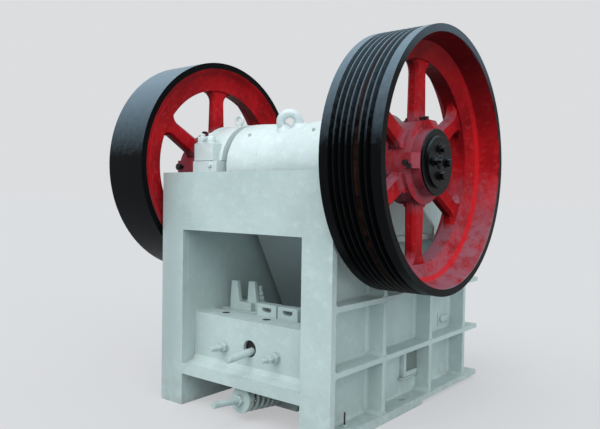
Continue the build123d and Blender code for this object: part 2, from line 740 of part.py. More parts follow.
def rim_outline(width, grooved, inner, inset):
    """Half section (radius, Z) of a rim with the web ring that carries the spokes."""
    points = [(rim_edge_radius, 0), (wheel_radius, 0)]
    if grooved:
        start = width - outer_land - groove_count * groove_pitch
        slope = (groove_pitch - groove_ridge - groove_floor) / 2
        floor_radius = wheel_radius - groove_depth
        for index in range(groove_count):
            z = start + index * groove_pitch + groove_ridge / 2
            points += [(wheel_radius, z), (floor_radius, z + slope),
                       (floor_radius, z + slope + groove_floor),
                       (wheel_radius, z + 2 * slope + groove_floor)]
    points += [(wheel_radius, width), (rim_edge_radius, width), (rim_neck_radius, rim_neck[1] - inset),
               (web_base_radius, web_base[1] - inset), (inner, web_tip[1] - inset),
               (inner, web_tip[0] - inset), (web_base_radius, web_base[0] - inset),
               (rim_neck_radius, rim_neck[0] - inset)]
    return points


def spoke_gap(outer):
    """Opening between two spokes, with large rounded corners, beside the local X axis."""
    turn = math.radians(360 / spoke_count)
    inner = hub_radius - gap_inner_fillet / 2
    root, tip = spoke_root_width / 2, spoke_tip_width / 2

    def across(x, y):
        """The same point, mirrored to the next spoke."""
        return (x * math.cos(turn) + y * math.sin(turn), x * math.sin(turn) - y * math.cos(turn))

    low = (math.sqrt(inner ** 2 - root ** 2), root)
    high = (math.sqrt(outer ** 2 - tip ** 2), tip)
    middle = (math.cos(turn / 2), math.sin(turn / 2))
    edges = [Line(low, high),
             ThreePointArc(high, (outer * middle[0], outer * middle[1]), across(*high)),
             Line(across(*high), across(*low)),
             ThreePointArc(across(*low), (inner * middle[0], inner * middle[1]), low)]
    gap = make_face(edges)
    corners = gap.vertices().sort_by_distance((0, 0, 0))
    gap = fillet(corners[2:], gap_outer_fillet)
    return fillet(gap.vertices().sort_by_distance((0, 0, 0))[:2], gap_inner_fillet)


def spokes(inner):
    """Flat wheel of spokes with bevelled edges, between the hub and the web ring."""
    radius = (inner + web_base_radius) / 2
    plate = Cylinder(radius, spoke_depth)
    gap = spoke_gap(inner)
    cutter = Pos(0, 0, -spoke_depth) * extrude(gap, 2 * spoke_depth)
    for index in range(spoke_count):
        plate -= Rot(0, 0, 360 * index / spoke_count) * cutter
    rims = [edge for edge in plate.edges().group_by(Axis.Z)[0] + plate.edges().group_by(Axis.Z)[-1]
            if edge.center().X ** 2 + edge.center().Y ** 2 > 1 and edge.length < radius]
    return chamfer(rims, spoke_chamfer)


def wheel(width, grooved, ring, inset):
    """Rim, spokes and hub of one wheel, frame side at Z 0, with lugs at its top (-X) and rear (-Y)."""
    inner = web_base_radius - ring
    face = Plane.XZ * make_face(Polyline(*rim_outline(width, grooved, inner, inset), close=True))
    start = hub_start - inset
    hub = Pos(0, 0, (start + hub_end) / 2) * Cylinder(hub_radius, hub_end - start)
    boss_end = cap_face - cap_thickness
    boss = Pos(0, 0, (hub_end + boss_end) / 2) * Cylinder(hub_boss_radius, boss_end - hub_end)
    outline = [(-hub_boss_radius + 10, hub_end), (-hub_radius, hub_end),
               (-hub_radius, hub_end + hub_lug_flat), (-hub_boss_radius, boss_end),
               (-hub_boss_radius + 10, boss_end)]
    lug = rear_profile(outline, -hub_lug_width / 2, hub_lug_width / 2)
    body = revolve(face, Axis.Z) + Pos(0, 0, spoke_middle - inset) * spokes(inner)
    body += hub + boss + lug + Rot(0, 0, 90) * lug
    return body - Pos(0, 0, width / 2) * Cylinder(shaft_end_radius + running_gap, 2 * width)


def end_cap():
    """Round cover that clamps a wheel on the shaft end, with a raised inner disc."""
    disc = Pos(0, 0, cap_face - cap_thickness / 2) * Cylinder(cap_radius, cap_thickness)
    boss = Pos(0, 0, cap_face + cap_boss_height / 2) * Cylinder(cap_boss_radius, cap_boss_height)
    return on_shaft(disc + boss)


def build_all():
    """Every sub-part, by the name of its node."""
    parts = {"rear_wall": rear_wall()}
    pairs = {"side_wall": side_wall(), "side_flanges": side_flanges(), "side_ribs": side_ribs(),
             "clamp_bracket": clamp_bracket(), "bearing_base": bearing_base(),
             "bearing_cap": bearing_cap(), "cheek_plate": cheek_plate()}
    for name, shape in pairs.items():
        parts["right_" + name] = shape
        parts["left_" + name] = mirrored(shape)
    parts["front_wall"] = front_wall()
    parts["front_flanges"] = front_flanges()
    parts["front_ribs"] = front_ribs()
    parts["adjusting_beam"] = adjusting_beam()
    parts["adjusting_shims"] = shims()
    parts["toggle_block"] = toggle_block()
    parts["toggle_plate"] = toggle_plate()
    parts["adjusting_screws"] = adjusting_screws()
    parts["centre_rod"] = centre_rod()
    parts["tension_rod"] = tension_rod()
    parts["spring_disc"] = spring_disc()
    parts["tension_spring"] = tension_spring()
    parts["spring_bracket"] = spring_bracket()
    parts["fixed_jaw_plate"] = fixed_jaw_plate()
    parts["pitman"] = pitman()
    parts["toggle_seat"] = toggle_seat()
    parts["jaw_wedge"] = jaw_wedge()
    parts["barrel_end_rings"] = group([seal_ring(), mirrored(seal_ring())])
    parts["barrel_eyes"] = barrel_eye()
    parts["cap_eyes"] = group([cap_eye(), mirrored(cap_eye())])
    parts["moving_jaw_plate"] = moving_jaw_plate()
    parts["eccentric_shaft"] = eccentric_shaft()
    parts["drive_pulley"] = on_shaft(wheel(pulley_width, True, web_ring, 0))
    flywheel = wheel(flywheel_width, False, flywheel_web_ring, flywheel_web_inset)
    parts["flywheel"] = mirrored(on_shaft(flywheel))
    parts["pulley_end_cap"] = end_cap()
    parts["flywheel_end_cap"] = mirrored(end_cap())
    return parts


pieces = build_all()
boxes = [shape.bounding_box() for shape in pieces.values()]
middle_x = (min(box.min.X for box in boxes) + max(box.max.X for box in boxes)) / 2
middle_y = (min(box.min.Y for box in boxes) + max(box.max.Y for box in boxes)) / 2
origin = Pos(-middle_x, -middle_y, -min(box.min.Z for box in boxes))
print("the origin moves by", origin.position)

os.makedirs("parts", exist_ok=True)
for name, shape in pieces.items():
    export_step(origin * shape, "parts/" + name + ".step")
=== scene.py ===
import json
import math
import random

import bmesh
import bpy
from mathutils import Matrix, Vector


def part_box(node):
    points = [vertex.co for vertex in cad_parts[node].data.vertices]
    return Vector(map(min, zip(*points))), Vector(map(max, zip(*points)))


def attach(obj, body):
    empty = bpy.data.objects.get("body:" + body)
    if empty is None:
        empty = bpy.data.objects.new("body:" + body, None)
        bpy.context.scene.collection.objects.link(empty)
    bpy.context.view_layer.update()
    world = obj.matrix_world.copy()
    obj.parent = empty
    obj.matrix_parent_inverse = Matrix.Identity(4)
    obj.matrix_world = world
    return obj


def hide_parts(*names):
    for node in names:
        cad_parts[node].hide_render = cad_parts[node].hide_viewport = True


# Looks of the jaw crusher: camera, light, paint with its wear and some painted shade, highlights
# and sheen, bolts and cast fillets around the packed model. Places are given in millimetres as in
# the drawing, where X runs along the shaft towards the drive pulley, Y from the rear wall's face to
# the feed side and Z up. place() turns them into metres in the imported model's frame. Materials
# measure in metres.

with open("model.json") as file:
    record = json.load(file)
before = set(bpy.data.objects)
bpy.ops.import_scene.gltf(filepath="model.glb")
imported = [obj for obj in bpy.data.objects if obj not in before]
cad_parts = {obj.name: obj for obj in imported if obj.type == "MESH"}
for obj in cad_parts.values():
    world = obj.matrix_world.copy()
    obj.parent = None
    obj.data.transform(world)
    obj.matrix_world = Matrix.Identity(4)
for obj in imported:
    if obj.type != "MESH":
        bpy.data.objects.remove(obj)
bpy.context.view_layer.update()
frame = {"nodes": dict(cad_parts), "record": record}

# The drawing starts at the middle of the rear wall's face, SHAFT_Y before the shaft's axis.
MM = 0.001
SHAFT_Y = 426.4
joints = {row["name"]: row["pos_m"] for row in frame["record"]["behaviour"]["joints"]}
SHIFT_X = joints["shaft_spin"][0] / MM
SHIFT_Y = joints["shaft_spin"][1] / MM - SHAFT_Y
UP, DOWN = (0, 0, 1), (0, 0, -1)
AHEAD, BACK = (0, 1, 0), (0, -1, 0)


def place(x, y, z):
    """A point of the drawing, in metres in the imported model's frame."""
    return Vector((x + SHIFT_X, y + SHIFT_Y, z)) * MM


def drawn(point):
    """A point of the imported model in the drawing, to 0.01 mm."""
    return [round(value / MM - shift, 2) for value, shift in zip(point, (SHIFT_X, SHIFT_Y, 0.0))]


def corners_of(node):
    """Lowest and highest corner of a node in the drawing."""
    return [drawn(corner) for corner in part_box(node)]


# The camera, at the photograph's viewing angle (600 x 429 frame).
CAMERA_PLACE = (1898.3, -1964.9, 979.5)
CAMERA_YAW = 38.4651
CAMERA_DOWN = 1.5621
CAMERA_ROLL = 0.8778
CAMERA_LENS = 37.969
CAMERA_SENSOR = 36.0
CAMERA_REACH = 500.0

# Light. A sun has a name, the direction towards it, its angular size and its level.
SKY_COLOUR = (0.90, 0.96, 1.0, 1.0)
SKY_LEVELS = (0.42, 0.98)
SUNS = (("main sun", (0.04, -0.64, 0.77), 50.0, 0.53),
        ("side fill", (0.80, -0.50, 0.32), 60.0, 0.38))
BACKGROUND = (0.716, 0.723, 0.737)
FLOOR_BOUNCE = (0.38, 0.41, 0.43, 1.0)
FLOOR_SHADOW = 0.42     # share of the floor's colour that the object's shadow can take away
FLOOR_LIGHT = 1.282     # light that reaches the open floor
FLOOR_HALF_SIZE = 150.0
FLOOR_DROP = 0.0006

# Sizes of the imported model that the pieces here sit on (mm): first those that its nodes, joints
# and mounts give, then those inside a node.
wall_low, wall_high = corners_of("right_side_wall")
front_low, front_high = corners_of("front_ribs")
flanges_high = corners_of("right_side_flanges")[1]
beam_high = corners_of("adjusting_beam")[1]
WALL_IN, WALL_OUT, HALF_WIDTH = wall_low[0], wall_high[0], flanges_high[0]
PORTAL_DEPTH, FRAME_LENGTH, FRONT_END = wall_low[1], wall_high[1], front_high[1]
FLANGE_TOP, SEAT_LOW, SEAT_TOP = front_low[2], wall_high[2], flanges_high[2]
BEAM_END, BEAM_TOP = beam_high[1], beam_high[2]
WHEEL_X = corners_of("drive_pulley")[0][0]
CAP_FACE = corners_of("pulley_end_cap")[1][0]
CHEEK_FACE = corners_of("right_cheek_plate")[0][0]
SHAFT_Z = drawn(joints["shaft_spin"])[2]
BARREL_Z = drawn(joints["jaw_orbit"])[2]
mounts = {row["name"]: row for row in frame["record"]["mounts"]}
studs = mounts["foundation_bolts"]
STUD_X = studs["dims"]["spacing_x_mm"] / 2
STUD_YS = [drawn(studs["pos_m"])[1] + way * studs["dims"]["spacing_y_mm"] / 2 for way in (-1, 1)]
FREE_HOLE_Y = drawn(mounts["middle_foundation_bolts"]["pos_m"])[1]

RIB = 22.0
RIBS_Z = (274.0, 533.0, 788.0)
POCKETS_Z = ((FLANGE_TOP, RIBS_Z[0]), (RIBS_Z[0] + RIB, RIBS_Z[1]), (RIBS_Z[1] + RIB, RIBS_Z[2]))
POCKETS_Y = ((PORTAL_DEPTH, 389.0), (414.0, 822.0), (847.0, 1205.0))
HIGH_POCKETS_Y = ((PORTAL_DEPTH, 389.0), (414.0, 700.0))
POCKETS_X = ((60.0 - HALF_WIDTH, -262.5), (-237.5, -12.5), (12.5, 237.5),
             (262.5, HALF_WIDTH - 60.0))
BARREL_WAIST, HUB_RADIUS, LUG_TOP = 212.0, 171.5, 174.4
EYE_REACH, EYE_TURN = 79.0, 30.0    # of the barrel's eye: offset to the rear, and angle (degrees)
BEAM_FACE = 80.0
SCREW_X, SCREW_Z = 155.0, 293.5
ROD_HOLE_Z, ROD_HOLE_RADIUS = 306.0, 37.3
BRACKET_BOLT = (172.0, 336.0, 465.5)
SPRING_START, SPRING_END = (0.0, 30.0, 90.0), (0.0, 560.0, 34.0)

# Sizes of the pieces (mm): how deep they are let into what carries them, the steps and the
# wavering of fillets and beads, and the window's corners (Y, Z) low in the side wall.
SINK, THIN_SINK = 0.8, 0.6
FILLET_STEPS = 5
FILLET_PITCH, BEAD_PITCH = 16.0, 9.0
WAVER, CORNER_WAVER = 0.12, 0.10
WASHER_SIDES = 28
WINDOW = ((690.0, 128.0), (821.0, 262.0))

# Weld seams on a side wall: X, start and end (Y, Z), radius, wavering and seed. They run along
# the bearing seat, down the slope beside it and up both faces of the front wall.
SEAMS = ((WALL_IN, (34.0, SEAT_TOP - 0.4), (180.0, SEAT_TOP - 0.4), 3.0, 0.30, 71),
         (WALL_OUT + 0.5, (742.0, 1055.0), (940.0, 1001.0), 2.5, 0.30, 75),
         (WALL_IN - 1.0, (1184.0, 977.0), (1184.0, 300.0), 4.0, 0.30, 79),
         (WALL_IN - 2.0, (FRAME_LENGTH + 1.0, 60.0), (FRAME_LENGTH + 1.0, 960.0), 6.0, 0.25, 83))

# Smoothing: angles in degrees, the reach of the weld in metres.
SMOOTH_ANGLE, EDGE_ANGLE, FLAT_ANGLE = 35.0, 32.0, 0.4
WELD_REACH = 0.00002
PLAIN_EDGE = 2.5

# How much the nodes' edges are rounded (mm), where it isn't PLAIN_EDGE.
EDGES = {"rear_wall": 5.0, "adjusting_beam": 7.0, "front_ribs": 4.0, "front_flanges": 4.5,
         "right_side_flanges": 4.5, "left_side_flanges": 4.5,
         "right_side_ribs": 4.5, "left_side_ribs": 4.5,
         "drive_pulley": 1.1, "flywheel": 3.0, "toggle_plate": 0.0, "barrel_eyes": 0.0,
         "cap_eyes": 0.0, "tension_spring": 0.0, "eccentric_shaft": 1.0,
         "adjusting_screws": 1.2, "centre_rod": 1.5, "tension_rod": 1.0,
         "adjusting_shims": 1.6, "pitman": 3.0, "moving_jaw_plate": 1.5,
         "fixed_jaw_plate": 1.5}

# Colours (linear).
FRAME_COLOUR = (0.475, 0.585, 0.575)
FRAME_SHADE = (0.400, 0.500, 0.490)
HOUSING_COLOUR = (0.640, 0.745, 0.755)
HOUSING_SHADE = (0.560, 0.665, 0.670)
FITTINGS_COLOUR, FITTINGS_SHADE = (0.440, 0.545, 0.535), (0.330, 0.420, 0.410)
SPRING_COLOUR, SPRING_SHADE = (0.400, 0.490, 0.465), (0.290, 0.360, 0.340)
# Painted shade for the inside of the small window.
RECESS_SHADOW_COLOUR, RECESS_SHADOW_DARK = (0.165, 0.210, 0.200), (0.110, 0.140, 0.135)
# Brown of dirt specks. It also darkens the corners, and near the ground it stands partly for
# painted shade.
DIRT_AND_SHADE = (0.155, 0.130, 0.095)
RED = (0.470, 0.009, 0.014)
RED_SHADE = (0.240, 0.005, 0.008)
RED_PALE = (0.62, 0.075, 0.085)
# Painted shade of the wheels' red, in corners and on undersides.
RED_CORNER_SHADE = (0.085, 0.004, 0.006)
RED_UNDERSIDE_SHADE = (0.030, 0.002, 0.003)
# Painted highlight on the step inside the wheels' rims.
RED_STEP_HIGHLIGHT = (0.580, 0.010, 0.016)
# Pink of dust with a painted sheen of the sky, on the wheels' red.
RED_DUST_AND_SHEEN = (0.300, 0.110, 0.145)
BLACK = (0.0024, 0.0026, 0.0030)
BLACK_WORN = (0.030, 0.034, 0.038)
# Pale dust with a painted sheen of the sky, on black paint.
BLACK_DUST_AND_SHEEN = (0.155, 0.222, 0.272)
RUST = (0.110, 0.045, 0.022)
GROOVE_RUST = (0.050, 0.021, 0.014)
MANGANESE = (0.17, 0.16, 0.15)
SHAFT_STEEL = (0.34, 0.34, 0.34)
DARK_STEEL = (0.045, 0.045, 0.048)
STUD_STEEL = (0.055, 0.050, 0.045)

# Where the wheels' paint changes: distances from the shaft's axis for the hub's painted sheen, the
# painted highlight on the rim's step and the black rim, and X of the rusty groove (m).
HUB_SHEEN = (0.225, 0.185)
STEP_START, STEP_END = (0.474, 0.479), (0.497, 0.492)
RIM_START = (0.5145, 0.5165)
RUSTY_GROOVE_X = 0.6560
GROOVE_SIDES = (0.012, 0.004)
GROOVE_DEPTHS = (0.5435, 0.5375)


def add(tree, kind, inputs=None, **settings):
    """A new shader node. An input is a number, a colour, or another node's output to link."""
    node = tree.nodes.new("ShaderNode" + kind)
    for key, value in settings.items():
        setattr(node, key, value)
    for key, value in (inputs or {}).items():
        if isinstance(value, bpy.types.NodeSocket):
            tree.links.new(value, node.inputs[key])
        else:
            node.inputs[key].default_value = value
    return node


def blend(tree, factor, first, second):
    """Colour between two colours or outputs."""
    node = tree.nodes.new("ShaderNodeMix")
    node.data_type = "RGBA"
    for index, value in ((0, factor), (6, first), (7, second)):
        if isinstance(value, bpy.types.NodeSocket):
            tree.links.new(value, node.inputs[index])
        elif index:
            node.inputs[index].default_value = (*value, 1.0)
        else:
            node.inputs[index].default_value = value
    return node.outputs[2]


def noise(tree, where, scale, detail, roughness=0.55):
    """Noise in object space, whose scale is in repeats a metre."""
    inputs = {"Vector": where, "Scale": scale, "Detail": detail, "Roughness": roughness}
    return add(tree, "TexNoise", inputs).outputs["Fac"]


def ramp(tree, value, low, high, start=0.0, end=1.0):
    """Straight ramp between two values, held at its ends."""
    inputs = {"Value": value, "From Min": low, "From Max": high, "To Min": start, "To Max": end}
    return add(tree, "MapRange", inputs, clamp=True).outputs["Result"]


def maths(tree, kind, first, second=0.0):
    """One step of arithmetic."""
    return add(tree, "Math", {0: first, 1: second}, operation=kind).outputs[0]


def times(tree, first, second):
    """Product of two values."""
    return maths(tree, "MULTIPLY", first, second)


def parts_of(tree, vector):
    """X, Y and Z of a vector."""
    return add(tree, "SeparateXYZ", {"Vector": vector}).outputs


def facing_up(tree):
    """Z of the surface's direction: 1 on a top, 0 on a wall, -1 on an underside."""
    return parts_of(tree, add(tree, "NewGeometry").outputs["Normal"])["Z"]


def darker(colour, share):
    """A colour at a share of its strength."""
    return tuple(c * share for c in colour)


def new_material(name):
    """Empty node material: its tree, its shader and its object coordinates."""
    material = bpy.data.materials.new(name)
    material.use_nodes = True
    tree = material.node_tree
    shader = tree.nodes["Principled BSDF"]
    where = add(tree, "TexCoord").outputs["Object"]
    return material, tree, shader, where


def crevice(tree, distance):
    """How deep in a corner a point lies: 0 in the open, 1 in a narrow corner."""
    node = add(tree, "AmbientOcclusion", {"Distance": distance}, samples=6)
    return maths(tree, "SUBTRACT", 1.0, node.outputs["AO"])


def bumped(tree, shader, layers):
    """Bump from several heights: (value, strength, depth in metres)."""
    normal = None
    for value, strength, depth in layers:
        inputs = {"Height": value, "Strength": strength, "Distance": depth}
        if normal is not None:
            inputs["Normal"] = normal
        normal = add(tree, "Bump", inputs).outputs["Normal"]
    tree.links.new(normal, shader.inputs["Normal"])


def dust_and_sheen(tree, low, high, most, mottle, rough=0.16):
    """Share of a pale film on faces turned upwards, with a patchy edge: dust, and a painted sheen
    of the sky.
    """
    up = facing_up(tree)
    uneven = ramp(tree, mottle, 0.25, 0.75, -rough, rough)
    return ramp(tree, maths(tree, "ADD", up, uneven), low, high, 0.0, most)


def paint(name, colour, shade, roughness, corner_darkening, lumps,
          low_dirt_and_shade=0.0, weather_and_shade=0.0, dim_below=0.0):
    """Thick brushed paint over rough castings, darker and browner in the corners, with faint runs.

    low_dirt_and_shade is splashed dirt near the ground that also stands for painted shade low down,
    weather_and_shade paints shade with some weathering on the flywheel's side, and below the height
    dim_below the paint is darker.
    """
    material, tree, shader, where = new_material(name)
    broad = noise(tree, where, 3.1, 3.0)
    mottle = noise(tree, where, 26.0, 5.0, 0.6)
    stretched = add(tree, "Mapping", {"Vector": where, "Scale": (1.0, 1.0, 0.09)}).outputs[0]
    runs = noise(tree, stretched, 21.0, 3.0)
    fine = noise(tree, where, 210.0, 3.0)
    tone = blend(tree, ramp(tree, broad, 0.36, 0.66), colour, shade)
    pale = tuple(min(1.0, c * 1.12) for c in colour)
    tone = blend(tree, ramp(tree, mottle, 0.52, 0.72, 0.0, 0.55), tone, pale)
    tone = blend(tree, ramp(tree, runs, 0.60, 0.78, 0.0, 0.22), tone, shade)
    # Darker, browner paint deep in corners, in patches, by the crevice mask.
    corner = crevice(tree, 0.055)
    mask = times(tree, ramp(tree, corner, 0.38, 0.92), ramp(tree, mottle, 0.30, 0.62))
    tone = blend(tree, times(tree, mask, corner_darkening), tone, DIRT_AND_SHADE)
    specks = ramp(tree, noise(tree, where, 95.0, 2.0, 0.4), 0.745, 0.775, 0.0, 0.55)
    tone = blend(tree, specks, tone, DIRT_AND_SHADE)
    place_in = parts_of(tree, where)
    # Painted shade with some weathering: darker in patches towards the flywheel's side.
    if weather_and_shade:
        patches = ramp(tree, broad, 0.30, 0.60, 0.6, 1.0)
        worn_and_shaded = times(tree, ramp(tree, place_in["X"], -0.25, -0.46), patches)
        tone = blend(tree, times(tree, worn_and_shaded, weather_and_shade), tone, darker(colour, 0.66))
    # Splashed dirt near the ground, which also darkens the low parts as painted shade.
    if low_dirt_and_shade:
        splash_and_shade = times(tree, ramp(tree, place_in["Z"], 0.33, 0.0), ramp(tree, mottle, 0.42, 0.70))
        tone = blend(tree, times(tree, splash_and_shade, low_dirt_and_shade), tone, DIRT_AND_SHADE)
    # Darker towards the bottom, below the height dim_below.
    if dim_below:
        dim = ramp(tree, place_in["Z"], dim_below, dim_below - 0.12)
        tone = blend(tree, dim, tone, darker(colour, 0.60))
    tree.links.new(tone, shader.inputs["Base Color"])
    rough = ramp(tree, mottle, 0.3, 0.7, roughness - 0.07, roughness + 0.12)
    tree.links.new(rough, shader.inputs["Roughness"])
    bumped(tree, shader, ((noise(tree, where, 13.0, 3.0), lumps, 0.004),
                          (mottle, 0.35, 0.0016), (fine, 0.22, 0.0005)))
    return material


def wheel_red(tree, where, radius, up, mottle):
    """Red with painted shade in corners and on undersides, dust with a painted sheen, a painted
    sheen on the hub and a painted highlight on the rim's step.
    """
    broad = noise(tree, where, 5.0, 4.0)
    patches = noise(tree, where, 11.0, 6.0, 0.7)
    red = blend(tree, ramp(tree, broad, 0.38, 0.68), RED, RED_SHADE)
    red = blend(tree, ramp(tree, mottle, 0.55, 0.75, 0.0, 0.35), red, RED_PALE)
    # Painted shade: darker red deep in corners.
    corner = ramp(tree, crevice(tree, 0.06), 0.35, 0.95, 0.0, 0.75)
    red = blend(tree, corner, red, RED_CORNER_SHADE)
    # Painted shade: darker red on faces turned downwards.
    red = blend(tree, ramp(tree, facing_up(tree), -0.15, -0.85, 0.0, 0.85), red, RED_UNDERSIDE_SHADE)
    # Dust with a painted pink sheen of the sky on faces turned up, and a painted sheen on the hub.
    dust_and_sky_sheen = times(tree, dust_and_sheen(tree, 0.02, 0.72, 1.0, mottle), ramp(tree, patches, 0.32, 0.54))
    hub_sheen = times(tree, ramp(tree, radius, *HUB_SHEEN, 0.0, 0.65),
                   ramp(tree, patches, 0.34, 0.58))
    red = blend(tree, maths(tree, "MAXIMUM", dust_and_sky_sheen, hub_sheen), red, RED_DUST_AND_SHEEN)
    # Painted highlight along the rounded step inside the rim, faded out towards the top as painted
    # shade.
    step = times(tree, ramp(tree, radius, *STEP_START), ramp(tree, radius, *STEP_END, 0.0, 0.8))
    step = times(tree, step, ramp(tree, up, 0.42, 0.12))
    return blend(tree, step, red, RED_STEP_HIGHLIGHT)


def wheel_black(tree, x, radius, up, mottle):
    """Black of the rims, with a painted sheen towards the pulley's top and dust with a painted
    sheen on faces turned up, and rust in one groove.
    """
    # Painted sheen of the sky towards the pulley's top, and dust with painted sheen on faces turned
    # up.
    sheen_and_dust = times(tree, ramp(tree, up, 0.30, 0.53, 0.0, 0.45), ramp(tree, x, 0.0, 0.1))
    sheen_and_dust = maths(tree, "MAXIMUM", dust_and_sheen(tree, 0.06, 0.78, 1.0, mottle, 0.05), sheen_and_dust)
    rim = blend(tree, sheen_and_dust, BLACK, BLACK_DUST_AND_SHEEN)
    off_groove = maths(tree, "ABSOLUTE", maths(tree, "SUBTRACT", x, RUSTY_GROOVE_X))
    deep = times(tree, ramp(tree, off_groove, *GROOVE_SIDES), ramp(tree, radius, *GROOVE_DEPTHS))
    rusty = times(tree, deep, ramp(tree, mottle, 0.38, 0.62, 0.1, 0.9))
    return blend(tree, rusty, rim, GROOVE_RUST)


def wheel_paint(name):
    """Red casting with a black rim, told apart by the distance from the shaft's axis."""
    material, tree, shader, where = new_material(name)
    place_in = parts_of(tree, where)
    axis = place(0, SHAFT_Y, SHAFT_Z)
    across = maths(tree, "SUBTRACT", place_in["Y"], axis.y)
    up = maths(tree, "SUBTRACT", place_in["Z"], axis.z)
    squares = maths(tree, "ADD", times(tree, across, across), times(tree, up, up))
    wander = ramp(tree, noise(tree, where, 20.0, 2.0), 0.3, 0.7, -0.0007, 0.0007)
    radius = maths(tree, "ADD", maths(tree, "SQRT", squares), wander)
    mottle = noise(tree, where, 42.0, 5.0, 0.6)
    black = ramp(tree, radius, *RIM_START)
    red = wheel_red(tree, where, radius, up, mottle)
    rim = wheel_black(tree, place_in["X"], radius, up, mottle)
    tree.links.new(blend(tree, black, red, rim), shader.inputs["Base Color"])
    red_rough = ramp(tree, mottle, 0.3, 0.7, 0.34, 0.52)
    rim_rough = ramp(tree, mottle, 0.3, 0.7, 0.30, 0.44)
    both = add(tree, "Mix", {0: black, 2: red_rough, 3: rim_rough}, data_type="FLOAT").outputs[0]
    tree.links.new(both, shader.inputs["Roughness"])
    shader.inputs["Specular IOR Level"].default_value = 0.05
    lumps = times(tree, noise(tree, where, 22.0, 4.0), ramp(tree, black, 0.0, 1.0, 1.0, 0.25))
    pits = noise(tree, where, 150.0, 3.0)
    bumped(tree, shader, ((lumps, 0.55, 0.0035), (pits, 0.28, 0.0007)))
    return material


def metal(name, colour, roughness, rust, grain):
    """Bare or thinly painted steel, with rust freckles and a turned or cast grain."""
    material, tree, shader, where = new_material(name)
    mottle = noise(tree, where, grain, 5.0, 0.62)
    tone = blend(tree, ramp(tree, mottle, 0.34, 0.66), darker(colour, 0.62), colour)
    spots = ramp(tree, noise(tree, where, grain * 0.6, 4.0, 0.7), 0.56, 0.68, 0.0, rust)
    tree.links.new(blend(tree, spots, tone, RUST), shader.inputs["Base Color"])
    tree.links.new(ramp(tree, spots, 0.0, 0.5, 0.9, 0.25), shader.inputs["Metallic"])
    tree.links.new(ramp(tree, mottle, 0.3, 0.7, roughness - 0.08, roughness + 0.2),
                   shader.inputs["Roughness"])
    bumped(tree, shader, ((mottle, 0.4, 0.0012),))
    return material


def gloss_black(name):
    """Glossy black paint on the end caps, with dust and a painted sheen on faces turned up, and
    fine waves.
    """
    material, tree, shader, where = new_material(name)
    mottle = noise(tree, where, 40.0, 5.0, 0.6)
    tone = blend(tree, ramp(tree, mottle, 0.50, 0.78, 0.0, 0.25), BLACK, BLACK_WORN)
    # Dust with a painted sheen of the sky on faces turned up.
    tone = blend(tree, dust_and_sheen(tree, 0.2, 0.9, 0.5, mottle), tone, BLACK_DUST_AND_SHEEN)
    tree.links.new(tone, shader.inputs["Base Color"])
    tree.links.new(ramp(tree, mottle, 0.3, 0.7, 0.20, 0.38), shader.inputs["Roughness"])
    shader.inputs["Specular IOR Level"].default_value = 0.07
    bumped(tree, shader, ((noise(tree, where, 18.0, 3.0), 0.35, 0.002), (mottle, 0.2, 0.0008)))
    return material


def add_camera():
    """Camera at the photograph's viewing angle."""
    data = bpy.data.cameras.new("camera")
    data.sensor_width = CAMERA_SENSOR
    data.sensor_fit = "HORIZONTAL"
    data.lens = CAMERA_LENS
    data.clip_end = CAMERA_REACH
    camera = bpy.data.objects.new("camera", data)
    bpy.context.scene.collection.objects.link(camera)
    turn = (Matrix.Rotation(math.radians(CAMERA_YAW), 4, "Z")
            @ Matrix.Rotation(math.radians(90.0 - CAMERA_DOWN), 4, "X")
            @ Matrix.Rotation(math.radians(CAMERA_ROLL), 4, "Z"))
    camera.matrix_world = Matrix.Translation(place(*CAMERA_PLACE)) @ turn
    bpy.context.scene.camera = camera


def seen_directly(tree):
    """1 for what the camera sees itself, in a reflection or through glass, otherwise 0."""
    rays = add(tree, "LightPath").outputs
    either = maths(tree, "MAXIMUM", rays["Is Camera Ray"], rays["Is Glossy Ray"])
    return maths(tree, "MAXIMUM", either, rays["Is Transmission Ray"])


def add_world():
    """Pale backdrop that lights the object as a soft overcast sky."""
    world = bpy.data.worlds.new("studio")
    bpy.context.scene.world = world
    world.use_nodes = True
    tree = world.node_tree
    tree.nodes.clear()
    up = parts_of(tree, add(tree, "TexCoord").outputs["Generated"])["Z"]
    level = ramp(tree, up, -0.05, 1.0, *SKY_LEVELS)
    light = add(tree, "Background", {"Color": SKY_COLOUR, "Strength": level})
    seen = add(tree, "Background", {"Color": (*BACKGROUND, 1.0), "Strength": 1.0})
    mix = add(tree, "MixShader", {0: seen_directly(tree), 1: light.outputs[0], 2: seen.outputs[0]})
    add(tree, "OutputWorld", {"Surface": mix.outputs[0]})


def add_lamps():
    """Two very soft suns: the main one from the discharge side, a weak one from the pulley's."""
    for name, towards, angle, level in SUNS:
        data = bpy.data.lights.new(name, "SUN")
        data.energy = level * math.pi
        data.angle = math.radians(angle)
        lamp = bpy.data.objects.new(name, data)
        bpy.context.scene.collection.objects.link(lamp)
        lamp.rotation_mode = "QUATERNION"
        lamp.rotation_quaternion = Vector(towards).to_track_quat("Z", "Y")


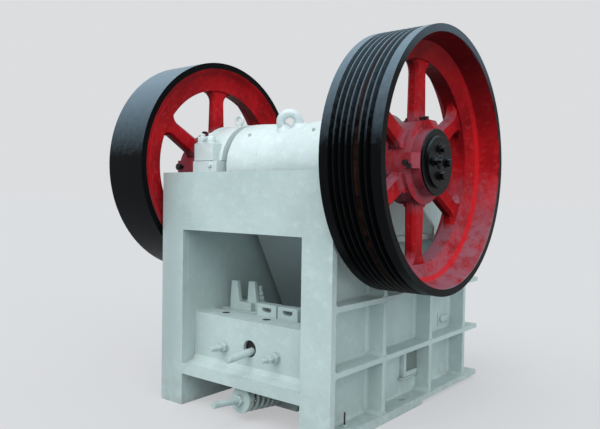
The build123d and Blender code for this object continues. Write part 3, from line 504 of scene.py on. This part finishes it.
def add_floor():
    """Plain pale floor that keeps the object's shadow and meets the backdrop without a line."""
    mesh = bpy.data.meshes.new("floor")
    size = FLOOR_HALF_SIZE
    corners = [(-size, -size, 0), (size, -size, 0), (size, size, 0), (-size, size, 0)]
    mesh.from_pydata(corners, [], [(0, 1, 2, 3)])
    floor = bpy.data.objects.new("floor", mesh)
    bpy.context.scene.collection.objects.link(floor)
    floor.location.z = -FLOOR_DROP
    material = bpy.data.materials.new("floor")
    material.use_nodes = True
    tree = material.node_tree
    tree.nodes.clear()
    bounce = add(tree, "BsdfDiffuse", {"Color": FLOOR_BOUNCE})
    glow = add(tree, "Emission", {"Color": (*BACKGROUND, 1.0), "Strength": 1.0 - FLOOR_SHADOW})
    lit = darker(BACKGROUND, FLOOR_SHADOW / FLOOR_LIGHT)
    shade = add(tree, "BsdfDiffuse", {"Color": (*lit, 1.0)})
    both = add(tree, "AddShader", {0: glow.outputs[0], 1: shade.outputs[0]})
    mix = add(tree, "MixShader", {0: seen_directly(tree), 1: bounce.outputs[0], 2: both.outputs[0]})
    add(tree, "OutputMaterial", {"Surface": mix.outputs[0]})
    mesh.materials.append(material)


def soften(piece, width):
    """Round a piece's sharp edges and shade the rest smooth."""
    if width:
        bevel = piece.modifiers.new("edges", "BEVEL")
        bevel.width = width * MM
        bevel.segments = 2
        bevel.limit_method = "ANGLE"
        bevel.angle_limit = math.radians(SMOOTH_ANGLE)
    for polygon in piece.data.polygons:
        polygon.use_smooth = True
    piece.data.set_sharp_from_angle(angle=math.radians(SMOOTH_ANGLE))


def finish_piece(mesh_data, name, body, material, edge=0.0):
    """Turn a bmesh into a piece that rides on a body and has a material."""
    mesh = bpy.data.meshes.new(name)
    bmesh.ops.remove_doubles(mesh_data, verts=mesh_data.verts, dist=0.00001)
    bmesh.ops.recalc_face_normals(mesh_data, faces=mesh_data.faces)
    mesh_data.to_mesh(mesh)
    mesh_data.free()
    piece = bpy.data.objects.new(name, mesh)
    bpy.context.scene.collection.objects.link(piece)
    mesh.materials.append(material)
    soften(piece, edge)
    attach(piece, body)
    return piece


def dress(node, material, width):
    """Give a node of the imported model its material, and round its edges by a width in mm."""
    if node.data.materials:
        for index in range(len(node.data.materials)):
            node.data.materials[index] = material
    else:
        node.data.materials.append(material)
    if not width:
        return
    weld = node.modifiers.new("weld", "WELD")
    weld.merge_threshold = WELD_REACH
    merge = node.modifiers.new("faces", "DECIMATE")
    merge.decimate_type = "DISSOLVE"
    merge.angle_limit = math.radians(FLAT_ANGLE)
    bevel = node.modifiers.new("edges", "BEVEL")
    bevel.width = width * MM
    bevel.segments = 3 if width > 4 else 2
    bevel.limit_method = "ANGLE"
    bevel.angle_limit = math.radians(EDGE_ANGLE)
    even = node.modifiers.new("shading", "WEIGHTED_NORMAL")
    even.keep_sharp = True


def axes(origin, direction, turn=0.0):
    """Matrix whose Z runs along a direction of the drawing, from an origin in mm."""
    aim = Vector(direction).to_track_quat("Z", "Y").to_matrix().to_4x4()
    return Matrix.Translation(place(*origin)) @ aim @ Matrix.Rotation(math.radians(turn), 4, "Z")


def leaning(angle):
    """Direction that leans from straight up towards the discharge side, by radians."""
    return Vector((0.0, -math.sin(angle), math.cos(angle)))


def ring(target, matrix, radius, height, sides):
    """Corners round a matrix's Z, at a height in mm."""
    corners = []
    for index in range(sides):
        angle = 2 * math.pi * index / sides
        point = Vector((radius * math.cos(angle), radius * math.sin(angle), height)) * MM
        corners.append(target.verts.new(matrix @ point))
    return corners


def skin(target, rings):
    """Faces between rings that have equally many corners."""
    for low, high in zip(rings, rings[1:]):
        for index, corner in enumerate(low):
            after = (index + 1) % len(low)
            target.faces.new((corner, low[after], high[after], high[index]))


def solid(target, rings):
    """Skin over rings, closed with a face at both ends."""
    skin(target, rings)
    target.faces.new(list(reversed(rings[0])))
    target.faces.new(rings[-1])


def turned(target, matrix, profile, sides):
    """Solid of revolution from (radius, height) points in mm."""
    solid(target, [ring(target, matrix, radius, height, sides) for radius, height in profile])


def box(target, low, high):
    """Box between two corners of the drawing."""
    (x0, y0, z0), (x1, y1, z1) = low, high
    outline = ((x0, y0), (x1, y0), (x1, y1), (x0, y1))
    solid(target, [[target.verts.new(place(x, y, z)) for x, y in outline] for z in (z0, z1)])


def thread(radius, start, end, pitch=3.0, depth=1.0):
    """Profile of a threaded bar from one height to another, with a tapered tip."""
    points = [(radius - depth, start)]
    height = start
    while height + pitch < end - 2 * depth:
        points += [(radius, height + pitch * 0.5), (radius - depth, height + pitch)]
        height += pitch
    points.append((radius - 2.2 * depth, end))
    return points


def nut(target, matrix, radius, height, start):
    """Hexagon nut with chamfered corners."""
    edge, face, end = 0.09 * radius, 0.93 * radius, start + height
    profile = [(face, start), (radius, start + edge), (radius, end - edge), (face, end)]
    turned(target, matrix, profile, 6)


def washer(target, matrix, radius, height, start):
    """Flat washer with rounded edges."""
    edge, end = 0.3 * height, start + height
    face = radius - edge
    profile = [(face, start), (radius, start + edge), (radius, end - edge), (face, end)]
    turned(target, matrix, profile, WASHER_SIDES)


def bolt(target, origin, direction, radius, height, turn, stick=0.0, plate=True):
    """Hexagon on a surface, over a washer, with the end of a threaded bar where it sticks out."""
    matrix = axes(origin, direction, turn)
    start = -THIN_SINK
    if plate:
        plate_top = 0.22 * radius
        washer(target, matrix, 1.28 * radius, plate_top + THIN_SINK, start)
        start = plate_top
    nut(target, matrix, radius, height, start)
    if stick:
        top = start + height
        turned(target, matrix, thread(0.55 * radius, top - 1.0, top + stick), 16)


def arc_strip(target, start, end, first, second, size, waver, seed):
    """Concave fillet along a line in the corner of two surfaces, given their two directions."""
    start, first, second = Vector(start), Vector(first), Vector(second)
    line = Vector(end) - start
    count = max(2, int(line.length / FILLET_PITCH))
    draw = random.Random(seed)
    rings = []
    for step in range(count + 1):
        here = start + line * (step / count)
        width = size * (1.0 + draw.uniform(-waver, waver))
        reaches = [(-SINK, -SINK), (width, -SINK)]
        for index in range(FILLET_STEPS + 1):
            angle = math.pi / 2 * index / FILLET_STEPS
            reaches.append((width * (1 - math.sin(angle)), width * (1 - math.cos(angle))))
        reaches.append((-SINK, width))
        points = [here + first * one + second * other for one, other in reaches]
        rings.append([target.verts.new(place(*point)) for point in points])
    solid(target, rings)


def bead(target, points, radius, waver, seed, sides=6):
    """Wavy bead along a line of points."""
    draw = random.Random(seed)
    last = len(points) - 1
    rings = []
    for index, point in enumerate(points):
        before, after = points[max(index - 1, 0)], points[min(index + 1, last)]
        matrix = axes(point, (Vector(after) - Vector(before)).normalized())
        size = radius * (1.0 + draw.uniform(-waver, waver))
        rings.append(ring(target, matrix, size, 0.0, sides))
    solid(target, rings)


def along(start, end):
    """Points along a straight line, for a bead."""
    start, end = Vector(start), Vector(end)
    count = max(1, int((end - start).length / BEAD_PITCH))
    return [start.lerp(end, step / count) for step in range(count + 1)]


def pocket_fillets(side):
    """Cast fillets round every pocket of one side wall and along its ribs."""
    mesh = bmesh.new()
    wall, tip, out = side * WALL_OUT, side * (HALF_WIDTH - 1.5), (side, 0, 0)
    upright, level, corner, high_corner = 15.0, 13.0, 19.0, 17.0
    seed = 10 if side > 0 else 500
    for low, high in POCKETS_Z:
        for y0, y1 in POCKETS_Y:
            for y, way in ((y0, AHEAD), (y1, BACK)):
                seed += 1
                arc_strip(mesh, (wall, y, low), (wall, y, high), out, way, upright, WAVER, seed)
            for z, way in ((low, UP), (high, DOWN)):
                seed += 1
                arc_strip(mesh, (wall, y0, z), (wall, y1, z), out, way, level, WAVER, seed)
                for y, turn in ((y0, AHEAD), (y1, BACK)):
                    seed += 1
                    arc_strip(mesh, (wall, y, z), (tip, y, z), way, turn,
                              corner, CORNER_WAVER, seed)
    top, open_end = RIBS_Z[-1] + RIB, HIGH_POCKETS_Y[-1][-1]
    for y0, y1 in HIGH_POCKETS_Y:
        seed += 1
        arc_strip(mesh, (wall, y0, top), (wall, y1, top), out, UP, level, WAVER, seed)
        for y, way in ((y0, AHEAD), (y1, BACK)):
            seed += 1
            if y < open_end:
                arc_strip(mesh, (wall, y, top), (wall, y, SEAT_LOW - 2.0), out, way,
                          level, WAVER, seed)
                arc_strip(mesh, (wall, y, top), (tip, y, top), UP, way,
                          high_corner, CORNER_WAVER, seed)
    return mesh


def front_fillets():
    """The same fillets between the ribs of the front wall."""
    mesh = bmesh.new()
    face, tip = FRAME_LENGTH, FRONT_END - 1.5
    edge, corner = 12.0, 15.0
    seed = 900
    for low, high in POCKETS_Z:
        for x0, x1 in POCKETS_X:
            for z, way in ((low, UP), (high, DOWN)):
                seed += 1
                arc_strip(mesh, (x0, face, z), (x1, face, z), AHEAD, way, edge, WAVER, seed)
            for x, turn in ((x0, (1, 0, 0)), (x1, (-1, 0, 0))):
                if abs(x) > WALL_IN:
                    continue
                seed += 1
                arc_strip(mesh, (x, face, low), (x, face, high), AHEAD, turn, edge, WAVER, seed)
                for z, way in ((low, UP), (high, DOWN)):
                    seed += 1
                    arc_strip(mesh, (x, face, z), (x, tip, z), turn, way,
                              corner, CORNER_WAVER, seed)
    return mesh


def rear_fillets():
    """Fillets where the cross beam's top meets the side walls."""
    mesh = bmesh.new()
    for side in (-1, 1):
        start = (side * WALL_IN, BEAM_FACE + 4.0, BEAM_TOP)
        end = (side * WALL_IN, BEAM_END - 2.0, BEAM_TOP)
        arc_strip(mesh, start, end, UP, (-side, 0, 0), 7.0, 0.2, 35 + side)
    return mesh


def bearing_bolts(side):
    """Studs and nuts that clamp a bearing cap, and a screw at each end of its base."""
    mesh = bmesh.new()
    ear_top, ear_reach = SHAFT_Z + 106.5, 214.0
    screw_x, screw_reach, screw_z = 372.0, 244.0, SHAFT_Z - 3.0
    for way in (-1, 1):
        for x, turn in ((400.0, 40.0), (460.0, 10.0)):
            spot = (side * x, SHAFT_Y + way * ear_reach, ear_top)
            bolt(mesh, spot, UP, 25.0, 30.0, turn, 14.0)
    for way in (-1, 1):
        spot = (side * screw_x, SHAFT_Y + way * screw_reach, screw_z)
        bolt(mesh, spot, (0, way, 0), 10.0, 9.0, 15.0)
    return mesh


def barrel_plugs():
    """Grease plugs near the barrel's ends."""
    mesh = bmesh.new()
    base_radius = 219.3
    profile = [(9.0, -1.0), (9.0, 3.0), (7.5, 4.5), (4.0, 4.8), (3.4, 9.0), (2.2, 10.0)]
    for x, angle in ((-190.0, 46.0), (190.0, 44.0)):
        out = leaning(math.radians(angle))
        base = Vector((x, SHAFT_Y, BARREL_Z)) + out * base_radius
        turned(mesh, axes(base, out), profile, 20)
    return mesh


def eye_foot():
    """Weld-like swelling where both legs of the barrel's lifting eye stand on it."""
    mesh = bmesh.new()
    base_radius, leg_reach = 201.0, 36.5
    lean, turn = math.asin(EYE_REACH / BARREL_WAIST), math.radians(EYE_TURN)
    out = leaning(lean)
    plane = Vector((math.cos(turn), math.sin(turn) * math.cos(lean),
                    math.sin(turn) * math.sin(lean)))
    profile = [(46.0, -12.0), (39.0, -1.0), (34.0, 6.0), (29.0, 11.5), (25.5, 15.5),
               (22.5, 21.0), (19.0, 24.0), (8.0, 25.0)]
    for side in (-1, 1):
        base = Vector((0.0, SHAFT_Y, BARREL_Z)) + out * base_radius + plane * (side * leg_reach)
        turned(mesh, axes(base, out), profile, 36)
    return mesh


def barrel_seams():
    """Two faint raised lines over the barrel, beside its waist."""
    mesh = bmesh.new()
    first_angle, step_angle, count = -19.2, 2.4, 92
    for seed, x in ((60, -104.0), (61, 104.0)):
        points = []
        for index in range(count):
            angle = math.radians(first_angle + step_angle * index)
            points.append((x, SHAFT_Y + BARREL_WAIST * math.cos(angle),
                           BARREL_Z + BARREL_WAIST * math.sin(angle)))
        bead(mesh, points, 1.7, 0.35, seed)
    return mesh


def cap_bolts(side):
    """Four bolts round the middle of a wheel's end cap, one of the pulley's with a stud."""
    mesh = bmesh.new()
    face, out = side * CAP_FACE, (side, 0, 0)
    reach, size, stud = 55.0, 17.0, 13.0
    for index in range(4):
        angle = math.radians(90.0 * index)
        spot = (face, SHAFT_Y + reach * math.sin(angle), SHAFT_Z + reach * math.cos(angle))
        bolt(mesh, spot, out, size, size, 17.0 * index, stud if index == 3 and side > 0 else 0.0)
    centre = [(30.0, -1.0), (30.0, 2.0), (27.0, 4.0), (9.0, 4.2), (6.5, 1.5)]
    turned(mesh, axes((face, SHAFT_Y, SHAFT_Z), out), centre, 32)
    return mesh


def hub_bolts(side):
    """Set bolts in the hub's two lugs: pairs on the pulley, single round heads on the flywheel."""
    mesh = bmesh.new()
    if side > 0:
        for x, y in ((137.0, -13.0), (158.0, -22.0)):
            spot = (WHEEL_X + x, SHAFT_Y + y, SHAFT_Z + LUG_TOP)
            bolt(mesh, spot, UP, 12.0, 15.0, 10.0, plate=False)
        for x, z in ((152.0, -7.0), (170.0, -23.0)):
            spot = (WHEEL_X + x, SHAFT_Y - LUG_TOP, SHAFT_Z + z)
            bolt(mesh, spot, BACK, 12.0, 13.0, 12.0, plate=False)
    else:
        reach = LUG_TOP - 0.4
        head = [(8.0, 0.0), (8.0, 14.0), (15.0, 15.0), (16.0, 17.5), (15.0, 23.0), (11.0, 25.0)]
        matrix = axes((-(WHEEL_X + 161.0), SHAFT_Y, SHAFT_Z + reach), UP)
        turned(mesh, matrix, head, 24)
        head = [(10.0, 0.0), (10.0, 17.0), (17.0, 18.5), (18.5, 22.0), (18.0, 31.0), (13.0, 33.0)]
        matrix = axes((-(WHEEL_X + 142.0), SHAFT_Y - reach, SHAFT_Z - 3.0), BACK)
        turned(mesh, matrix, head, 24)
    return mesh


def spoke_roots(side):
    """Cast roots where each spoke meets the hub's drum, on both of the spokes' faces."""
    mesh = bmesh.new()
    outer, inner = (126.0, 74.0) if side > 0 else (100.0, 48.0)
    half_length = 44.0
    for index in range(6):
        angle = math.radians(30.0 + 60.0 * index)
        out = Vector((0.0, math.cos(angle), math.sin(angle)))
        across = Vector((0.0, -math.sin(angle), math.cos(angle)))
        for offset, way in ((outer, 1), (inner, -1)):
            base = Vector((side * (WHEEL_X + offset), SHAFT_Y, SHAFT_Z)) + out * HUB_RADIUS
            for sign in (-1, 1):
                end = base + across * (sign * half_length)
                arc_strip(mesh, base, end, (side * way, 0, 0), out, 15.0, 0.08, 200 + index)
    return mesh


def hub_collar(side):
    """Rounded collar between the hub's drum and its boss."""
    mesh = bmesh.new()
    x = side * (WHEEL_X + 146.0)
    boss, size, steps, count = 139.0, 14.0, 6, 72
    profile = []
    for step in range(steps + 1):
        turn = math.pi / 2 * step / steps
        depth, rise = size * (1 - math.cos(turn)), size * (1 - math.sin(turn))
        profile.append((depth - THIN_SINK, boss + rise))
    profile.append((-SINK, boss - 1.0))
    rings = []
    for index in range(count):
        angle = 2 * math.pi * index / count
        out = Vector((0.0, math.cos(angle), math.sin(angle)))
        points = [Vector((x + side * depth, SHAFT_Y, SHAFT_Z)) + out * radius
                  for depth, radius in profile]
        rings.append([mesh.verts.new(place(*point)) for point in points])
    skin(mesh, rings + rings[:1])
    return mesh


def spring_line():
    """Start of the spring's axis, and its direction towards the feed side."""
    start = Vector(SPRING_START)
    return start, (Vector(SPRING_END) - start).normalized()


def coil_spring():
    """Coil of the tension spring with closed end turns."""
    mesh = bmesh.new()
    start, down_rod = spring_line()
    first = Vector((1.0, 0.0, 0.0))
    second = first.cross(down_rod)
    wire, mean, turns, closed, steps = 9.5, 45.5, 7.5, 0.75, 36
    low, high = 6.0 + wire, 238.0 - wire
    total = int(turns * steps)
    points = []
    for index in range(total + 1):
        turn = turns * index / total
        rise = min(1.0, max(0.0, (turn - closed) / (turns - 2 * closed)))
        angle = 2 * math.pi * turn
        centre = start + down_rod * (low + (high - low) * rise)
        points.append(centre + (first * math.cos(angle) + second * math.sin(angle)) * mean)
    bead(mesh, points, wire, 0.0, 1, 12)
    return mesh


def rod_end():
    """Rounded end of the tension rod, with its centre mark."""
    mesh = bmesh.new()
    start, down_rod = spring_line()
    reach = 168.0
    profile = [(14.4, -46.0), (14.4, -0.5), (12.8, 1.4), (5.5, 1.6), (4.2, 0.6), (1.0, 0.4)]
    turned(mesh, axes(start - down_rod * reach, -down_rod), profile, 24)
    return mesh


def set_screws():
    """Adjusting screws with a lock nut on the beam, a second nut and a short threaded end."""
    mesh = bmesh.new()
    neck = [(14.0, 23.0), (16.5, 24.5), (16.5, 31.0), (14.0, 32.5)]
    shank = [(12.0, -175.0), (12.0, 54.0)]
    for x, end in ((-SCREW_X, 13.5), (SCREW_X, 10.5)):
        spot = (x, BEAM_FACE, SCREW_Z)
        matrix = axes(spot, BACK, 20.0)
        washer(mesh, matrix, 27.0, 4.6, -0.6)
        nut(mesh, matrix, 24.5, 20.0, 4.0)
        turned(mesh, matrix, neck, 24)
        nut(mesh, axes(spot, BACK, 5.0), 18.0, 24.0, 31.0)
        turned(mesh, matrix, thread(end, 53.0, 90.0, 3.5), 20)
        turned(mesh, matrix, shank, 20)
    return mesh


def loose_rod():
    """Draw rod that hangs a little in its hole, with a rounded end and a centre mark."""
    mesh = bmesh.new()
    start, end = Vector((0.0, 235.0, 301.0)), Vector((0.0, -58.0, 282.0))
    radius, mark, length = 16.8, 3.4, (end - start).length
    profile = [(radius, 0.0), (radius, length - 4.0), (15.4, length - 0.8), (12.6, length),
               (mark, length), (2.0, length - 1.6)]
    turned(mesh, axes(start, (end - start).normalized()), profile, 32)
    return mesh


def bracket_bolts():
    """Tall bolts that hold the clamp brackets down, with washers and two nuts each."""
    mesh = bmesh.new()
    x, y, z = BRACKET_BOLT
    for side in (-1, 1):
        spot = (side * x, y, z)
        bolt(mesh, spot, UP, 23.0, 24.0, 15.0)
        nut(mesh, axes(spot, UP), 19.0, 20.0, 30.0)
        turned(mesh, axes(spot, UP), thread(13.0, 48.0, 78.0), 18)
    return mesh


def beam_sockets():
    """Dark discs that stand for sockets in the cross beam's top, and a dark plug in the hole for
    the draw rod, both painted shade of the holes' depth.
    """
    mesh = bmesh.new()
    # Dark discs, painted shade of the sockets' depth.
    socket = [(19.0, -SINK), (19.0, 0.5), (17.0, 0.9), (9.0, 0.7)]
    for x in (-228.0, 28.0):
        turned(mesh, axes((x, 160.0, BEAM_TOP), UP), socket, WASHER_SIDES)
    # Dark plug, painted shade of the deep hole for the draw rod.
    hole = [(ROD_HOLE_RADIUS, 0.0), (ROD_HOLE_RADIUS, 24.0)]
    turned(mesh, axes((0.0, BEAM_FACE + 18.0, ROD_HOLE_Z), AHEAD), hole, 48)
    return mesh


def stud_places():
    """Places of the foundation studs (X, Y) in the drawing."""
    return [(side * STUD_X, y) for side in (-1, 1) for y in STUD_YS]


def anchor_studs():
    """Thin threaded ends of the foundation studs."""
    mesh = bmesh.new()
    for x, y in stud_places():
        turned(mesh, axes((x, y, 2.0), UP), thread(4.0, 0.0, 102.0, 3.5, 0.6), 14)
    return mesh


def stud_collars():
    """Painted washers and nuts of the foundation studs."""
    mesh = bmesh.new()
    plate, plate_top = [(27.0, -SINK), (27.0, 1.0), (24.0, 2.8), (13.0, 3.2)], 2.8
    for x, y in stud_places():
        matrix = axes((x, y, FLANGE_TOP), UP)
        turned(mesh, matrix, plate, WASHER_SIDES)
        nut(mesh, matrix, 11.0, 9.0, plate_top)
    return mesh


def flange_rims(side):
    """Rim round the free bolt hole of a base flange, and two pressed washers on the lowest rib."""
    mesh = bmesh.new()
    matrix = axes((side * STUD_X, FREE_HOLE_Y, FLANGE_TOP), UP)
    rim = ((19.5, -SINK), (20.5, 0.4), (19.5, 1.4), (16.0, 1.5), (15.2, 0.6))
    skin(mesh, [ring(mesh, matrix, radius, height, 32) for radius, height in rim])
    for x, y, outer, inner in ((478.0, 1068.0, 19.0, 7.0), (466.0, 1314.0, 24.0, 9.0)):
        profile = [(outer, -SINK), (outer, 1.2), (outer - 2.0, 2.4), (inner + 2.0, 2.6),
                   (inner, 1.2)]
        turned(mesh, axes((side * x, y, RIBS_Z[0] + RIB), UP), profile, WASHER_SIDES)
    return mesh


def wall_box(mesh, side, height, low, high):
    """Box that stands on the outside of a side wall, between two (Y, Z) corners."""
    near, far = sorted((side * (WALL_OUT - SINK), side * (WALL_OUT + height)))
    box(mesh, (near, *low), (far, *high))


def window_frame(side):
    """Raised post and sill of a small window low in the side wall, and the ledge under it."""
    mesh = bmesh.new()
    (y0, z0), (y1, z1) = WINDOW
    post, sill = y0 + 22.0, z0 + 23.0
    wall_box(mesh, side, 24.0, (y0, z0), (post, z1))
    wall_box(mesh, side, 24.0, (post + 0.5, z0), (y1, sill))
    wall_box(mesh, side, 27.0, (y0 - 22.0, z0 - 7.0), (y1, z0 - 0.5))
    return mesh


def window_shadow_block(side):
    """Dark block in painted shade that stands for the shadowed inside of the small window."""
    mesh = bmesh.new()
    (y0, z0), (y1, z1) = WINDOW
    wall_box(mesh, side, 20.0, (y0 + 21.0, z0 + 22.0), (y1 + 0.4, z1))
    return mesh


def wall_pad(side):
    """Long pad and a thin upright strip in the front pocket of the side wall."""
    mesh = bmesh.new()
    centre_y, centre_z, half_length = 1152.0, 348.0, 34.0
    rings = []
    for radius, height in ((17.0, -SINK), (17.0, 9.0), (15.8, 11.2), (13.0, 12.0)):
        corners = []
        for index in range(32):
            angle = 2 * math.pi * (index + 0.5) / 32
            y = centre_y + math.copysign(half_length, math.cos(angle)) + radius * math.cos(angle)
            z = centre_z + radius * math.sin(angle)
            corners.append(mesh.verts.new(place(side * (WALL_OUT + height), y, z)))
        rings.append(corners)
    solid(mesh, rings)
    wall_box(mesh, side, 6.0, (1078.0, 317.0), (1083.0, 384.0))
    return mesh


def wall_joints():
    """Weld seams on both side walls, listed in SEAMS."""
    mesh = bmesh.new()
    for side in (-1, 1):
        for x, start, end, radius, waver, seed in SEAMS:
            line = along((side * x, *start), (side * x, *end))
            bead(mesh, line, radius, waver, seed + side)
    return mesh


def wedge_bolts():
    """Bolt heads on the wedge that clamps the moving jaw plate."""
    mesh = bmesh.new()
    for x in (-220.0, -74.0, 74.0, 220.0):
        bolt(mesh, (x, 701.0, 1026.5), (0, 0.2, 1.0), 12.0, 9.0, 12.0)
    return mesh


def cheek_bolts(side):
    """Countersunk bolt heads that hold a cheek plate on the side wall."""
    mesh = bmesh.new()
    x = side * CHEEK_FACE
    head = [(20.0, -1.0), (20.0, 0.6), (17.0, 1.6), (7.0, 1.6), (6.0, 0.6)]
    for y, z in ((1060.0, 900.0), (1060.0, 640.0), (1100.0, 330.0), (820.0, 900.0),
                 (930.0, 640.0)):
        turned(mesh, axes((x, y, z), (-side, 0, 0)), head, 6)
    return mesh


bpy.context.scene.view_settings.view_transform = "Standard"
add_camera()
add_world()
add_lamps()
add_floor()

frame_paint = paint("frame_paint", FRAME_COLOUR, FRAME_SHADE, 0.46, 0.50, 0.7,
                    low_dirt_and_shade=0.35, weather_and_shade=0.75)
housing_paint = paint("housing_paint", HOUSING_COLOUR, HOUSING_SHADE, 0.36, 0.45, 0.5,
                      dim_below=0.90)
fittings = paint("painted_fittings", FITTINGS_COLOUR, FITTINGS_SHADE, 0.44, 0.8, 0.5)
spring_paint = paint("spring_steel", SPRING_COLOUR, SPRING_SHADE, 0.42, 0.9, 0.4)
# Dark paint that is painted shade for the small window's inside.
painted_recess_shadow = paint("painted_recess_shadow", RECESS_SHADOW_COLOUR, RECESS_SHADOW_DARK, 0.6, 0.8, 0.4)
manganese = metal("manganese_steel", MANGANESE, 0.48, 0.75, 48.0)
shaft_steel = metal("shaft_steel", SHAFT_STEEL, 0.28, 0.15, 90.0)
red_black = wheel_paint("wheel_paint")
cap_black = gloss_black("cap_paint")
# Dark steel of the hub's bolts, also used as painted shade in the beam's holes.
dark_bolts_and_shadows = metal("dark_bolts_and_shadows", DARK_STEEL, 0.38, 0.5, 80.0)
rusty_studs = metal("rusty_studs", STUD_STEEL, 0.55, 0.5, 70.0)

materials = {"frame_paint": frame_paint, "housing_paint": housing_paint,
             "painted_fittings": fittings, "spring_steel": spring_paint,
             "manganese_steel": manganese, "shaft_steel": shaft_steel,
             "wheel_paint": red_black, "cap_paint": cap_black}
slots = {row["node"]: row["material_slot"] for row in frame["record"]["subparts"]}
for name, node in frame["nodes"].items():
    dress(node, materials[slots[name]], EDGES.get(name, PLAIN_EDGE))

# The pieces: name or its ending, maker, slot, material and rounded edge (mm). Those on the walls
# ride on the frame, those on the wheels on the rotor, and the single ones name their body.
wall_pieces = (("_pocket_fillets", pocket_fillets, "frame_paint", frame_paint, 0.0),
               ("_bearing_bolts", bearing_bolts, "housing_paint", housing_paint, 0.6),
               ("_flange_rims", flange_rims, "painted_fittings", fittings, 0.0),
               ("_wall_window", window_frame, "frame_paint", frame_paint, 3.0),
               # Painted shade of the small window's inside.
               ("_wall_shadow_block", window_shadow_block, "frame_paint", painted_recess_shadow, 0.4),
               ("_wall_pad", wall_pad, "frame_paint", frame_paint, 1.0),
               ("_cheek_bolts", cheek_bolts, "manganese_steel", manganese, 0.0))
wheel_pieces = (("_cap_bolts", cap_bolts, "cap_paint", cap_black, 0.6),
                ("_hub_bolts", hub_bolts, "wheel_paint", dark_bolts_and_shadows, 0.5),
                ("_spoke_roots", spoke_roots, "wheel_paint", red_black, 0.0),
                ("_hub_collar", hub_collar, "wheel_paint", red_black, 0.0))
single_pieces = (("front_fillets", front_fillets, "frame", "frame_paint", frame_paint, 0.0),
                 ("rear_fillets", rear_fillets, "frame", "frame_paint", frame_paint, 0.0),
                 ("rear_hardware", rod_end, "frame", "painted_fittings", fittings, 0.5),
                 ("bracket_bolts", bracket_bolts, "frame", "painted_fittings", fittings, 0.6),
                 ("beam_sockets", beam_sockets, "frame", "painted_fittings", dark_bolts_and_shadows, 0.0),
                 ("anchor_studs", anchor_studs, "frame", "painted_fittings", rusty_studs, 0.0),
                 ("stud_collars", stud_collars, "frame", "painted_fittings", fittings, 0.4),
                 ("wall_joints", wall_joints, "frame", "frame_paint", frame_paint, 0.0),
                 ("barrel_plugs", barrel_plugs, "swing_jaw", "housing_paint", fittings, 0.0),
                 ("barrel_eye_foot", eye_foot, "swing_jaw", "housing_paint", housing_paint, 0.0),
                 ("barrel_seams", barrel_seams, "swing_jaw", "housing_paint", housing_paint, 0.0),
                 ("jaw_wedge_bolts", wedge_bolts, "swing_jaw", "housing_paint", housing_paint,
                  0.5))
for side, wall, wheel in ((1, "right", "pulley"), (-1, "left", "flywheel")):
    for ending, build, slot, material, edge in wall_pieces:
        finish_piece(build(side), wall + ending, "frame", material, edge)
    for ending, build, slot, material, edge in wheel_pieces:
        finish_piece(build(side), wheel + ending, "rotor", material, edge)
for name, build, body, slot, material, edge in single_pieces:
    finish_piece(build(), name, body, material, edge)
spring = finish_piece(coil_spring(), "coil_spring", "frame", spring_paint)
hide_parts("tension_spring")
screws = finish_piece(set_screws(), "set_screws", "frame", fittings, 0.7)
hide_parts("adjusting_screws")
draw_rod = finish_piece(loose_rod(), "loose_rod", "frame", fittings)
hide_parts("centre_rod")
